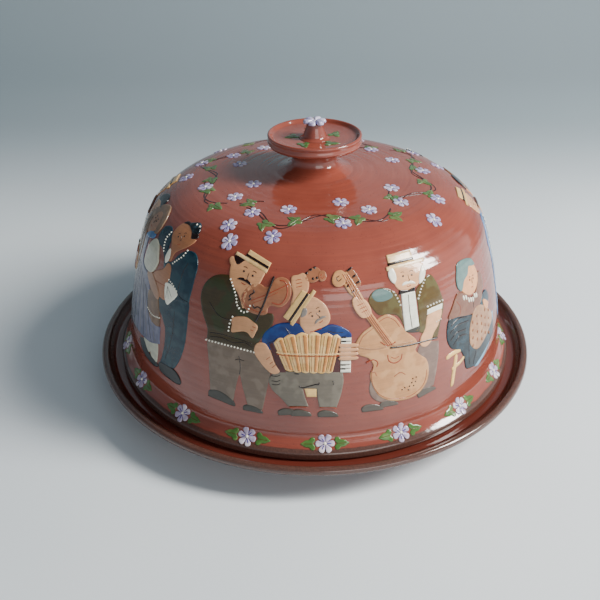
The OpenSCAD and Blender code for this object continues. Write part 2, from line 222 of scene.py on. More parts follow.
def slip_glaze(name, colour, deep=0.74, pale=1.2, streak=0.4, wash=None):
    """Clear glaze over coloured slip that was brushed on along the thrown rings."""
    clay = Clay(name)
    base = tone(*colour)
    darker = (*[c * deep for c in base[:3]], 1.0)
    lighter = (*[min(c * pale, 0.95) for c in base[:3]], 1.0)
    brushed = clay.mix(clay.streaks.rise(0.35, 0.7) * streak, base, darker)
    mottled = clay.mix(clay.noise(clay.place, 0.22, 3.0).rise(0.42, 0.72) * 0.6, brushed, lighter)
    ringed = clay.mix(clay.marks.rise(0.52, 0.75) * 0.3, mottled, darker)
    if wash is not None:
        patch = clay.noise(clay.place, 0.11, 2.0).rise(0.48, 0.62)
        ringed = clay.mix(patch * 0.75, ringed, tone(*wash))
    spotted = clay.mix(clay.specks(0.8, 0.12) * 0.5, ringed, tone(60, 40, 34))
    roughness = 0.09 + clay.clouds * 0.06 + clay.grain * 0.05
    return clay.close(spotted, roughness, clay.relief(), 0.11)


# --- turned pieces ---------------------------------------------------------------


def half_section(node):
    """The outline of a turned CAD piece beside its axis, in millimetres, from the
    top of the axis outwards and round to the bottom."""
    mesh = bmesh.new()
    mesh.from_mesh(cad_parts[node].data)
    corners = np.array([(math.hypot(v.co.x, v.co.y), v.co.z) for v in mesh.verts])
    slant = Vector((math.cos(0.012), math.sin(0.012), 0))
    cuts = ((slant, True, False), (Vector((-slant.y, slant.x, 0)), True, True))
    for normal, inner, outer in cuts:
        everything = mesh.verts[:] + mesh.edges[:] + mesh.faces[:]
        bmesh.ops.bisect_plane(
            mesh, geom=everything, dist=1e-7, plane_co=(0, 0, 0), plane_no=normal,
            clear_inner=inner, clear_outer=outer,
        )
    bmesh.ops.remove_doubles(mesh, verts=mesh.verts[:], dist=2e-6)
    here = max((v for v in mesh.verts if math.hypot(v.co.x, v.co.y) < 1e-5), key=lambda v: v.co.z)
    path = [here]
    while True:
        ahead = [e.other_vert(here) for e in here.link_edges]
        ahead = [v for v in ahead if v not in path]
        if not ahead:
            break
        here = ahead[0]
        path.append(here)
    line = np.array([(math.hypot(v.co.x, v.co.y), v.co.z) for v in path])
    mesh.free()
    for i, point in enumerate(line):
        gaps = np.hypot(*(corners - point).T)
        if gaps.min() < 0.00015:
            line[i] = corners[gaps.argmin()]
    line = line / MM
    apart = np.hypot(*np.diff(line, axis=0).T) > 0.02
    return line[np.concatenate(([True], apart))]


def softened(line, rounds=4, sharp_cut=0.7):
    """The line with its corners taken off: gentle bends widely, sharp ones closely."""
    for _ in range(rounds):
        steps = np.diff(line, axis=0)
        lengths = np.hypot(*steps.T)
        ways = steps / lengths[:, None]
        made = [line[0]]
        for i in range(1, len(line) - 1):
            gentle = ways[i - 1] @ ways[i] > 0.94
            back = lengths[i - 1] * 0.25
            on = lengths[i] * 0.25
            if not gentle:
                back = min(back, sharp_cut)
                on = min(on, sharp_cut)
            made.append(line[i] - ways[i - 1] * back)
            made.append(line[i] + ways[i] * on)
        made.append(line[-1])
        line = np.array(made)
    return line


def along(line):
    """The distance run from the line's start to each of its points."""
    return np.concatenate(([0], np.cumsum(np.hypot(*np.diff(line, axis=0).T))))


def spaced(line, gap):
    """The same line with points a set gap apart."""
    run = along(line)
    count = max(2, int(round(run[-1] / gap)) + 1)
    at = np.linspace(0, run[-1], count)
    return np.stack([np.interp(at, run, line[:, k]) for k in range(line.shape[1])], axis=1)


# how far the marked surface is held inside the CAD surface, in millimetres
MARKS_SHY = 0.14


def finger_marks(height, radius):
    """The low ridges that fingers leave in thrown clay, in millimetres."""
    run = height - radius
    waves = ((0.76, 0.0, 0.03), (1.18, 1.7, 0.02), (0.41, 0.6, 0.03))
    return sum(size * np.sin(run * pitch + start) for pitch, start, size in waves)


def outward(line):
    """Unit normals of a section line, to the left of the way it runs."""
    steps = np.gradient(line, axis=0)
    steps /= np.hypot(*steps.T)[:, None]
    return np.stack([-steps[:, 1], steps[:, 0]], axis=1)


def built(name, points, faces, finish, smooth=True):
    """A mesh object from its points in metres."""
    mesh = bpy.data.meshes.new(name)
    mesh.from_pydata(points, [], faces)
    mesh.polygons.foreach_set("use_smooth", [smooth] * len(mesh.polygons))
    mesh.materials.append(finish)
    mesh.validate()
    piece = bpy.data.objects.new(name, mesh)
    bpy.context.scene.collection.objects.link(piece)
    return piece


def luted(line):
    """The knob's section with a thin skirt of clay smoothed out over the crown."""
    foot = int(np.flatnonzero(line[:, 1] > line[-1, 1] + 3)[-1])
    edge = line[foot]
    skirt = edge + np.array([(2, -0.06), (4.5, -0.34), (7, -0.64), (10, -1.3), (10, -2)])
    return np.concatenate([line[:foot] + (0, 0.12), [edge + (0, 0.12)], skirt, line[foot + 1:]])


def thrown(name, node, body, finish, around=320, gap=0.85, shaped=None):
    """A turned piece with finger marks, which stands for its CAD node."""
    section = half_section(node)
    if shaped is not None:
        section = shaped(section)
    line = spaced(softened(section), gap)
    line[0, 0] = 0
    line[-1, 0] = 0
    fade = np.minimum(1, np.minimum(line[:, 0], line[:, 0].max()) / 12)
    marks = finger_marks(line[:, 1], line[:, 0]) - MARKS_SHY
    line = line + outward(line) * (marks * fade)[:, None]
    rings = line[1:-1] * MM
    turn = np.arange(around) * 2 * math.pi / around
    wall = np.stack([
        rings[:, None, 0] * np.cos(turn), rings[:, None, 0] * np.sin(turn),
        np.repeat(rings[:, 1, None], around, axis=1),
    ], axis=2).reshape(-1, 3)
    ends = np.array([(0, 0, line[0, 1] * MM), (0, 0, line[-1, 1] * MM)])
    points = np.concatenate([wall, ends])
    top = len(wall)
    faces = []
    last = (len(rings) - 1) * around
    for j in range(around):
        k = (j + 1) % around
        faces.append((top, j, k))
        faces.append((top + 1, last + k, last + j))
        for i in range(0, last, around):
            faces.append((i + j, i + around + j, i + around + k, i + k))
    piece = built(name, points.tolist(), faces, finish)
    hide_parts(node)
    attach(piece, body)
    return piece


# --- the surfaces that slip is laid on -----------------------------------------------


class Surface:
    """The outside of the cover from its lip to the knob, for slip to lie on."""

    def __init__(self, node, low, high_radius):
        line = spaced(softened(half_section(node)), 0.5)
        outside = line[: int(np.argmax(line[:, 0])) + 1]
        keep = (outside[:, 0] > high_radius) & (outside[:, 1] > low)
        outside = outside[keep]
        normals = outward(outside)
        order = np.argsort(outside[:, 1])
        self.z = outside[order, 1]
        self.r = outside[order, 0]
        self.nr = normals[order, 0]
        self.nz = normals[order, 1]

    def lift(self, x, y, z, height):
        """Points moved off the surface along its normal, and over the finger marks."""
        radius = np.hypot(x, y)
        out = np.interp(z, self.z, self.nr)
        up = np.interp(z, self.z, self.nz)
        size = np.hypot(out, up)
        off = height + finger_marks(z, radius) - MARKS_SHY
        scale = 1 + off * out / size / np.maximum(radius, 1e-6)
        return np.stack([x * scale, y * scale, z + off * up / size], axis=1) * MM

    def on_wall(self, turn, foot, stretch=1.0):
        """Lays a flat drawing on the wall, its plane leaning back by the tilt."""
        lean = math.radians(VIEW_TILT)

        def lay(flat, height):
            near = np.zeros(len(flat))
            far = np.full(len(flat), 260.0)
            up = flat[:, 1] * stretch + foot
            for _ in range(32):
                middle = (near + far) / 2
                y = up * math.sin(lean) - middle * math.cos(lean)
                z = up * math.cos(lean) + middle * math.sin(lean)
                wall = np.interp(z, self.z, self.r, left=self.r[0], right=0)
                inside = np.hypot(flat[:, 0], y) < wall
                near = np.where(inside, middle, near)
                far = np.where(inside, far, middle)
            return turned_by(self.lift(flat[:, 0], y, z, height), turn)

        return lay

    def from_above(self):
        """Lays a drawing seen from above, its y axis away from the front."""

        def lay(flat, height):
            radius = np.hypot(flat[:, 0], flat[:, 1])
            z = np.interp(radius, self.r[::-1], self.z[::-1])
            return self.lift(flat[:, 0], flat[:, 1], z, height)

        return lay


def turned_by(points, degrees):
    turn = math.radians(degrees)
    x = points[:, 0] * math.cos(turn) - points[:, 1] * math.sin(turn)
    y = points[:, 0] * math.sin(turn) + points[:, 1] * math.cos(turn)
    return np.stack([x, y, points[:, 2]], axis=1)


# --- slip: patches, drawn lines and dots ---------------------------------------------

# thickness of a slip, rise from one level to the next, depth of its base in the glaze
# and width of its rounded edge, in millimetres
SLIP_T = 0.32
LEVEL_STEP = 0.11
SUNK = -0.2
EDGE_W = 0.6


def curve_through(points, closed, gap=0.8):
    """A smooth line through the points; a point given twice is a sharp corner."""
    knots = [np.array(p, float) for p in points]
    count = len(knots)
    made = []
    spans = count if closed else count - 1
    for i in range(spans):
        start = knots[i]
        end = knots[(i + 1) % count]
        length = np.hypot(*(end - start))
        if length < 1e-6:
            continue
        before = knots[i - 1] if closed or i > 0 else start
        after = knots[(i + 2) % count] if closed or i + 2 < count else end
        steps = max(1, int(math.ceil(length / gap)))
        for k in range(steps):
            t = k / steps
            bend = (
                (2 * start)
                + (end - before) * t
                + (2 * before - 5 * start + 4 * end - after) * t ** 2
                + (3 * start - before - 3 * end + after) * t ** 3
            )
            made.append(bend / 2)
    if not closed:
        made.append(knots[-1])
    return np.array(made)


def edge_gap(points, outline):
    """How far each point is from the outline."""
    start = outline
    step = np.roll(outline, -1, axis=0) - start
    size = np.maximum((step ** 2).sum(1), 1e-12)
    away = points[:, None, :] - start[None]
    share = np.clip((away * step[None]).sum(2) / size[None], 0, 1)
    miss = away - share[..., None] * step[None]
    return np.sqrt((miss ** 2).sum(2)).min(1)


def within(points, outline):
    """True for the points inside the outline."""
    x, y = points[:, 0:1], points[:, 1:2]
    x0, y0 = outline[:, 0], outline[:, 1]
    x1, y1 = np.roll(x0, -1), np.roll(y0, -1)
    spans = (y0 > y) != (y1 > y)
    rise = np.where(y1 == y0, 1, y1 - y0)
    crosses = spans & (x < (x1 - x0) * (y - y0) / rise + x0)
    return crosses.sum(1) % 2 == 1


def cut(outline, fine=1.5):
    """A flat patch of slip: its points, their height as a share, and its triangles."""
    sides = np.roll(outline, -1, axis=0) - np.roll(outline, 1, axis=0)
    sides /= np.maximum(np.hypot(*sides.T), 1e-9)[:, None]
    across = np.stack([-sides[:, 1], sides[:, 0]], axis=1)
    extra = []
    for inset in (0.2, EDGE_W):
        for side in (across, -across):
            ring = outline + side * inset
            keep = within(ring, outline) & (edge_gap(ring, outline) > inset * 0.9)
            extra.append(ring[keep])
    low, high = outline.min(0), outline.max(0)
    grid = np.stack(np.meshgrid(
        np.arange(low[0], high[0], fine), np.arange(low[1], high[1], fine * 0.87)), axis=2)
    grid[1::2, :, 0] += fine / 2
    grid = grid.reshape(-1, 2)
    if len(grid):
        keep = within(grid, outline)
        grid = grid[keep]
    if len(grid):
        grid = grid[edge_gap(grid, outline) > EDGE_W * 1.4]
    points = np.concatenate([outline, *extra, grid])
    loop = list(range(len(outline)))
    result = delaunay_2d_cdt([Vector(p) for p in points], [], [loop], 1, 1e-4)
    flat = np.array([tuple(v) for v in result[0]])
    depth = np.clip(edge_gap(flat, outline) / EDGE_W, 0, 1)
    height = np.sqrt(np.maximum(0, 1 - (1 - depth) ** 2))
    return flat, height, [tuple(face) for face in result[2]]


class Slip:
    """All the slip of one colour that makes one piece."""

    every = []

    def __init__(self, name, finish, slot, nodes=()):
        self.name = name
        self.finish = finish
        self.slot = slot
        self.nodes = nodes
        self.points = []
        self.faces = []
        self.count = 0
        Slip.every.append(self)

    def add(self, points, faces):
        self.points.append(points)
        self.faces.extend(tuple(i + self.count for i in face) for face in faces)
        self.count += len(points)

    def make(self):
        points = np.concatenate(self.points)
        piece = built(self.name, points.tolist(), self.faces, self.finish)
        if self.nodes:
            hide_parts(*self.nodes)
        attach(piece, "cover")
        return piece


class Drawing:
    """A drawing in millimetres, laid on the pot once for each of its places."""

    def __init__(self, places, at=(0, 0), turn=0, size=1.0):
        self.places = places
        self.at = np.array(at, float)
        self.turn = math.radians(turn)
        self.size = size

    def moved(self, at=(0, 0), turn=0, size=1.0):
        """The same drawing about another point, turned and scaled."""
        spot = self.to_sheet(np.array([at], float))[0]
        return Drawing(self.places, spot, math.degrees(self.turn) + turn, self.size * size)

    def to_sheet(self, flat):
        c, s = math.cos(self.turn), math.sin(self.turn)
        flat = flat * self.size
        x = flat[:, 0] * c - flat[:, 1] * s
        y = flat[:, 0] * s + flat[:, 1] * c
        return np.stack([x, y], axis=1) + self.at

    def lay(self, slip, flat, height, faces):
        sheet = self.to_sheet(flat)
        for place in self.places:
            slip.add(place(sheet, height), faces)

    def solid(self, slip, shape, level, thick=SLIP_T):
        """A cut patch made into a closed layer, its base sunk into the glaze."""
        flat, share, faces = shape
        count = len(flat)
        used = {}
        for face in faces:
            for i, a in enumerate(face):
                b = face[(i + 1) % len(face)]
                used[(a, b)] = True
        rim = [edge for edge in used if (edge[1], edge[0]) not in used]
        top = level * LEVEL_STEP + share * thick
        every = np.concatenate([top, np.full(count, SUNK)])
        shell = list(faces)
        shell += [tuple(i + count for i in reversed(face)) for face in faces]
        shell += [(b, a, a + count, b + count) for a, b in rim]
        self.lay(slip, np.concatenate([flat, flat]), every, shell)

    def patch(self, slip, points, level=0, thick=SLIP_T, curved=True):
        """A flat patch of slip with a rounded edge."""
        if not curved:
            points = [p for p in points for _ in range(2)]
        self.solid(slip, cut(curve_through(points, True)), level, thick)

    def line(self, slip, points, width=0.9, level=3, curved=True, thick=0.25):
        """A line drawn with a fine nozzle: half round, and narrower at its ends."""
        if not curved:
            points = [p for p in points for _ in range(2)]
        middle = curve_through(points, False, min(0.6, width * 0.7))
        way = np.gradient(middle, axis=0)
        way /= np.maximum(np.hypot(*way.T), 1e-9)[:, None]
        side = np.stack([-way[:, 1], way[:, 0]], axis=1)
        run = along(middle)
        ends = np.minimum(run, run[-1] - run) / width
        swell = 0.35 + 0.65 * np.sqrt(np.clip(ends * 1.6, 0, 1))
        profile = ((-1, SUNK), (-1, 0.0), (-0.7, 0.7), (0, 1.0), (0.7, 0.7), (1, 0.0), (1, SUNK))
        flat = []
        height = []
        for across, share in profile:
            flat.append(middle + side * (across * width / 2 * swell)[:, None])
            low = share < 0
            up = level * LEVEL_STEP + share * thick * swell
            height.append(np.full(len(middle), SUNK) if low else up)
        count = len(middle)
        rows = len(profile)
        faces = []
        for k in range(rows):
            m = (k + 1) % rows
            for i in range(count - 1):
                a, b = k * count + i, m * count + i
                faces.append((a, a + 1, b + 1, b))
        faces.append(tuple(k * count for k in range(rows)))
        faces.append(tuple(k * count + count - 1 for k in reversed(range(rows))))
        self.lay(slip, np.concatenate(flat), np.concatenate(height), faces)

    def dots(self, slip, spots, radius=0.65, level=3, thick=0.55):
        """Round beads of slip."""
        around = 10
        turns = np.arange(around) * 2 * math.pi / around
        circle = np.stack([np.cos(turns), np.sin(turns)], axis=1)
        faces = []
        for j in range(around):
            k = (j + 1) % around
            faces.append((0, 1 + j, 1 + k))
            for ring in (1, 1 + around):
                faces.append((ring + j, ring + around + j, ring + around + k, ring + k))
        faces.append(tuple(1 + 2 * around + j for j in reversed(range(around))))
        base = level * LEVEL_STEP
        height = np.concatenate([
            [base + thick], np.full(around, base + thick * 0.75),
            np.full(around, base), np.full(around, SUNK)])
        for spot in spots:
            rings = [circle * radius * share + spot for share in (0.62, 1, 1)]
            flat = np.concatenate([[spot], *rings])
            self.lay(slip, flat, height, faces)

    def beads(self, slip, points, gap=2.2, radius=0.6, level=4, curved=True):
        """A row of dots along a line."""
        row = points if curved else [p for p in points for _ in range(2)]
        self.dots(slip, spaced(curve_through(row, False), gap), radius, level)


# --- finishes ------------------------------------------------------------------------

DARK_LIP_H = 5.5
LIP_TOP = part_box("cover")[0].z / MM + DARK_LIP_H
RIM_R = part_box("platter")[1].x / MM


def dark_lip(clay):
    """Dark slip on the cover's foot, its top edge wavering."""
    edge = clay.z + clay.noise(clay.place, 0.08) * 1.6
    lip = 1 - edge.rise(LIP_TOP + 2.6, LIP_TOP + 3.4)
    return lip, lip


def dark_rim(clay):
    """Dark slip over the platter's rim, thin and red on the seat beside it; the seat is also painted
    darker as painted shade beside the cover's lip.
    """
    edge = clay.radius + clay.noise(clay.place, 0.06) * 2.0
    # the first mask is painted shade with dark slip on the seat, the second is the dark slip on the rim
    return edge.rise(RIM_R - 26, RIM_R - 18), edge.rise(RIM_R - 8.4, RIM_R - 6.6)


cover_glaze = red_glaze("cover_glaze", dark_lip)
platter_glaze = red_glaze("platter_glaze", dark_rim)
knob_glaze = red_glaze("knob_glaze")

thrown("platter_thrown", "platter", "platter", platter_glaze)
thrown("cover_thrown", "cover", "cover", cover_glaze)
thrown("knob_thrown", "knob", "cover", knob_glaze, around=160, gap=0.5, shaped=luted)
thrown("finial_thrown", "finial", "cover", knob_glaze, around=96, gap=0.4)

WASHES = {
    "vine_stem": ((62, 26, 24), None),
    "vine_leaves": ((72, 102, 54), (100, 114, 66)),
    "crown_flowers": ((158, 146, 182), (204, 196, 212)),
    "foot_flowers": ((174, 160, 184), (218, 208, 214)),
    "foot_leaves": ((68, 104, 48), (98, 124, 66)),
    "finial_flower": ((160, 154, 190), (208, 204, 222)),
    "finial_leaves": ((64, 100, 52), (92, 116, 66)),
    "dancer_dress": ((98, 98, 122), (120, 118, 140)),
    "dancer_linen": ((190, 188, 168), None),
    "dancer_skin": ((160, 118, 90), None),
    "dancer_hair": ((126, 98, 76), (144, 118, 94)),
    "partner_suit": ((16, 46, 60), (32, 64, 74)),
    "partner_skin": ((164, 110, 76), None),
    "partner_beret": ((16, 22, 26), (46, 72, 84)),
    "partner_shoes": ((36, 38, 38), None),
    "fiddler_jacket": ((60, 48, 24), (48, 56, 28)),
    "fiddler_trousers": ((108, 92, 78), (122, 106, 92)),
    "fiddler_skin": ((194, 142, 102), None),
    "fiddler_hat": ((206, 168, 112), (222, 190, 140)),
    "fiddler_shoes": ((58, 56, 50), None),
    "fiddle": ((146, 94, 66), (158, 108, 78)),
    "accordionist_shirt": ((12, 40, 98), (22, 60, 122)),
    "accordionist_trousers": ((104, 96, 84), (120, 112, 98)),
    "accordionist_skin": ((202, 150, 110), None),
    "accordionist_hat": ((206, 168, 106), None),
    "accordionist_shoes": ((74, 70, 62), None),
    "accordion_bellows": ((230, 182, 108), (238, 200, 138)),
    "accordion_ends": ((74, 34, 34), None),
    "accordionist_stool": ((230, 188, 118), None),
    "bassist_jacket": ((84, 66, 30), (92, 86, 50)),
    "bassist_shirt_front": ((234, 232, 214), None),
    "bassist_trousers": ((118, 96, 86), (132, 112, 100)),
    "bassist_skin": ((218, 164, 120), None),
    "bassist_hat": ((228, 190, 134), None),
    "bassist_shoes": ((84, 76, 68), None),
    "double_bass": ((186, 134, 88), (200, 152, 104)),
    "sitter_bodice": ((112, 70, 52), (122, 84, 64)),
    "sitter_skirt": ((14, 30, 38), (34, 58, 70)),
    "sitter_skin": ((216, 150, 100), None),
    "sitter_hair": ((92, 118, 114), None),
    "sitter_basket": ((160, 116, 80), (174, 132, 96)),
    "sitter_stool": ((236, 190, 114), None),
    "flautist_coat": ((62, 104, 152), (92, 134, 176)),
    "flautist_skin": ((206, 156, 116), None),
    "flautist_hat": ((210, 172, 116), None),
    "flute": ((80, 50, 38), None),
    "drummer_waistcoat": ((104, 74, 50), (124, 92, 64)),
    "drummer_breeches": ((76, 82, 88), None),
    "drummer_skin": ((204, 152, 114), None),
    "drummer_hat": ((30, 34, 38), None),
    "drum": ((208, 180, 138), None),
}
slips = {
    node: Slip(node + "_slip", slip_glaze(node + "_glaze", colour, wash=wash), node + "_slip", (node,))
    for node, (colour, wash) in WASHES.items()
}
ink = Slip("drawn_lines", slip_glaze("ink_slip", (30, 17, 15), pale=1.6), "vine_stem_slip")
rust = Slip("rust_lines", slip_glaze("rust_slip", (146, 62, 38)), "fiddle_slip")
white = Slip("white_beads", slip_glaze("white_slip", (240, 236, 218), 0.9, 1.05, 0.3),
    "dancer_linen_slip")
sky_blue = Slip("pale_blue_hem", slip_glaze("pale_blue_slip", (112, 156, 182)), "flautist_coat_slip")
ochre = Slip("ochre_folds", slip_glaze("ochre_slip", (204, 138, 74)), "accordion_bellows_slip")
grey = Slip("grey_hair", slip_glaze("grey_slip", (126, 118, 110)), "sitter_hair_slip")
violet = Slip("violet_veins", slip_glaze("violet_slip", (76, 60, 136)), "crown_flowers_slip")

# lean of the plane that the band is drawn on, height of the feet at the front, drop from
# there to the foot flowers, and how much taller the trio is drawn
VIEW_TILT = 30
FEET_Z = 46
BAND_DROP = 15.5
BAND_STRETCH = 1.02
KNOB_FOOT_R = 27.5
cover_skin = Surface("cover", LIP_TOP - 3, KNOB_FOOT_R)
feet_r = float(np.interp(FEET_Z, cover_skin.z, cover_skin.r))
tilt = math.radians(VIEW_TILT)
FEET_Y = FEET_Z * math.cos(tilt) - feet_r * math.sin(tilt)


def wall_drawing(turn, stretch=1.0):
    """A drawing with its feet on one line round the wall, on both sides of the pot."""
    return Drawing([cover_skin.on_wall(turn + side, FEET_Y, stretch) for side in BOTH_SIDES])


# --- what the figures share ------------------------------------------------------------


def shoe(d, slip, at, lean, length, level=1):
    """A low shoe seen from the side, its sole down."""
    one = d.moved(at, lean, length / 16)
    one.patch(slip, [(-8, 0), (-8, 3), (-4, 4.8), (1, 4.4), (6, 2.6), (8, 0.4), (7, -0.6), (0, -0.6),
        (-7, -0.6)], level)


def boater(d, slip, start, end, height, level=4, crown=(0.28, 1.0)):
    """A straw boater seen from the side: its brim, its crown and a black band."""
    start, end = np.array(start, float), np.array(end, float)
    way = end - start
    length = np.hypot(*way)
    one = d.moved(start, math.degrees(math.atan2(way[1], way[0])))
    low, high = crown[0] * length, crown[1] * length
    one.patch(slip, [(0, -1.2), (length, -1.2), (length, 1.1), (0, 1.1)], level, curved=False)
    one.patch(slip, [(low, 0.8), (high, 0.8), (high - 0.4, height), (low + 0.3, height + 0.4)], level,
        curved=False)
    one.patch(ink, [(low, 1.3), (high - 0.2, 1.3), (high - 0.2, 3.1), (low, 3.1)], level + 2, 0.25, False)


def calm_face(d, at, height, lean, beard=None, level=4):
    """Two eyes at half height, brows, a nose and a closed mouth; beard is its slip."""
    one = d.moved(at, lean, height / 20)
    for side in (-1, 1):
        one.dots(ink, [(side * 3.4, 0)], 0.95, level, 0.3)
        one.line(ink, [(side * 1.9, 2.6), (side * 3.5, 3.1), (side * 5.0, 2.5)], 0.55, level)
    one.line(ink, [(0.4, 0.6), (0.7, -2.4), (1.3, -3.6), (0.1, -4.0)], 0.5, level)
    one.line(rust, [(-1.8, -7.3), (0, -7.6), (1.8, -7.3)], 0.7, level)
    if beard is not None:
        tip = [(-5.4, -6.6), (-4.2, -4.8), (-1.6, -3.9), (0, -4.4), (1.6, -3.9), (4.2, -4.8), (5.4, -6.6)]
        one.patch(beard, tip + [(2.6, -6.2), (0, -5.9), (-2.6, -6.2)], level, 0.3)


def hand_lines(d, starts, way, level=4):
    for x, y in starts:
        d.line(rust, [(x, y), (x + way[0], y + way[1])], 0.45, level)


# --- the fiddler -------------------------------------------------------------------


def fiddler():
    d = wall_drawing(0, BAND_STRETCH)
    d.patch(slips["fiddler_trousers"], [
        (-66, 50), (-66.6, 35), (-66.5, 14.7), (-66.5, 14.7), (-58, 12), (-51.2, 10.4),
        (-51.2, 10.4), (-49, 20), (-46.4, 27.9), (-44.6, 20), (-41.6, 7.6), (-41.6, 7.6),
        (-36, 6.4), (-32.2, 5.9), (-32.2, 5.9), (-28, 23.8), (-25.8, 34), (-27, 39),
        (-35, 45), (-36, 46), (-50, 48.4)], 0)
    d.line(ink, [(-46.4, 40), (-45.6, 34), (-46.2, 28.5)], 0.5, 2)
    d.line(ink, [(-49, 37.4), (-46.4, 38), (-43, 37)], 0.5, 2)
    shoe(d, slips["fiddler_shoes"], (-59, 10.6), -18, 19)
    shoe(d, slips["fiddler_shoes"], (-38.4, 4.8), -8, 13)
    jacket = slips["fiddler_jacket"]
    d.patch(jacket, [
        (-49.5, 88), (-56, 89.6), (-62.6, 88.3), (-68, 83.5), (-70.6, 77), (-70.4, 70),
        (-69.2, 64.4), (-66.7, 56.3), (-67.4, 49.8), (-67.4, 49.8), (-52, 46.6), (-36.7, 42.9),
        (-36.7, 42.9), (-33, 50), (-27, 57), (-24.6, 61), (-24.6, 66), (-30, 67), (-36, 72),
        (-42.5, 69), (-45, 74), (-47.6, 81)], 1)
    for lift in (0, 1):
        hem = [(-65, 51.5 + lift * 2.6), (-57, 51 + lift * 2.2), (-50, 48.4 + lift * 3), (-43,
            48.6 + lift), (-38, 46 + lift * 2)]
        d.line(ink, hem, 0.5, 3)
    d.line(ink, [(-64.5, 73), (-60, 66), (-55, 63), (-50.5, 62)], 0.5, 3)
    d.beads(white, [(-50.6, 86.6), (-47.4, 77), (-46.8, 71.6), (-43.8, 67.4), (-40.4, 67.6),
        (-38.6, 71)], 2.0, 0.62)
    d.beads(white, [(-49.8, 64.2), (-51.6, 60.4), (-52.6, 55.6)], 2.1, 0.62)
    d.beads(white, [(-67.6, 49.4), (-52, 46.2), (-36.6, 42.8)], 2.15, 0.62, curved=False)
    skin = slips["fiddler_skin"]
    d.patch(skin, [
        (-50, 97.4), (-51.6, 90), (-50.4, 84), (-46.6, 79), (-44.6, 74), (-43.6, 69.6),
        (-42, 70.4), (-40.6, 76), (-38.6, 79.8), (-34.4, 82), (-31, 87), (-29.6, 92.4), (-38, 98),
            (-45.4, 101.6)], 2)
    d.patch(skin, [(-49.4, 100.4), (-51.6, 99.4), (-51.4, 96), (-49, 94.6), (-47, 97)], 3)
    d.patch(ink, [(-48.4, 100.6), (-48.6, 98), (-46.4, 95.2), (-43, 97), (-40.6, 98.8), (-45, 101.2)],
        4, 0.25)
    boater(d, slips["fiddler_hat"], (-47.6, 102.4), (-28.2, 91.2), 5.6)
    calm_face(d, (-39.6, 90), 18, -26, ink)
    d.patch(skin, [
        (-49.8, 63.8), (-42, 64.4), (-37.4, 62), (-34, 58.6), (-35.4, 54.6), (-37.5, 51.4),
        (-40.4, 54.4), (-43.6, 55.4), (-50.6, 54.8), (-50.4, 59)], 3)
    hand_lines(d, [(-37.4, 58.6), (-38.6, 56.6)], (2.2, -0.8), 5)
    fiddle = slips["fiddle"]
    d.patch(fiddle, [
        (-42.4, 80.4), (-44.6, 76), (-43, 70.4), (-38.6, 67), (-33, 65.4), (-28.6, 66),
        (-27.6, 69.6), (-25.4, 71), (-20.6, 70), (-16.4, 72.6), (-13.8, 77), (-13.6, 82.4),
        (-15.4, 86.4), (-19.4, 88), (-23.6, 86.6), (-26.4, 83), (-29.4, 82.2), (-32.4, 84), (-38, 84)], 2)
    d.line(rust, [(-41.6, 79), (-43, 75), (-41, 71), (-36.6, 68.4), (-32, 67.2), (-29.6, 68)], 0.5, 4)
    d.line(rust, [(-25.4, 73), (-20.6, 72), (-17.2, 75), (-15.8, 80), (-17.2, 85), (-20.6, 86)], 0.9, 4)
    d.line(rust, [(-38, 74), (-30, 77), (-22, 80.6), (-14.6, 84)], 0.7, 4)
    d.line(rust, [(-37.2, 72.4), (-29.4, 75.4), (-21.4, 79)], 0.4, 4)
    d.line(ink, [(-36.6, 80.4), (-35.8, 79), (-38.6, 77), (-38, 75), (-39.6, 74.4)], 0.8, 5)
    d.line(ink, [(-36.8, 71.6), (-36, 69.6), (-34, 70.4), (-31.6, 69.2), (-31.4, 70.6)], 0.8, 5)
    d.line(ink, [(-35.2, 61.4), (-31, 70), (-27, 80), (-23.8, 88.4)], 1.1, 6, thick=0.45)
    d.patch(skin, [(-13.4, 88.2), (-9.6, 89.4), (-6.2, 90.4), (-3.2, 87), (-3.2, 81), (-5.4, 76.6),
                   (-8, 72), (-12.6, 68.6), (-14, 72), (-12.6, 78), (-13.6, 83)], 2)
    hand_lines(d, [(-11, 86), (-10.6, 84), (-10.6, 82)], (3.6, 0.8), 4)
    d.patch(fiddle, [(-5.6, 86.6), (-3.4, 91.6), (0.6, 94), (3.4, 92.6), (4.6, 89.4), (2.4, 86),
        (-1.6, 84.6)], 2)
    d.patch(fiddle, [(2.2, 88.6), (3.4, 91.6), (6.2, 91.6), (7.6, 88.8), (6.4, 86), (3.6, 85.6)], 3)
    d.line(rust, [(6.4, 88.6), (5, 87.2), (3.8, 88.4), (4.8, 89.8)], 0.5, 5)
    pegs = [(-4.4, 90.2), (-2, 92.2), (0.4, 93.4), (-0.6, 87), (1.8, 87.6)]
    d.dots(ink, pegs, 0.9, 4, 0.4)


# --- the accordion player ------------------------------------------------------------


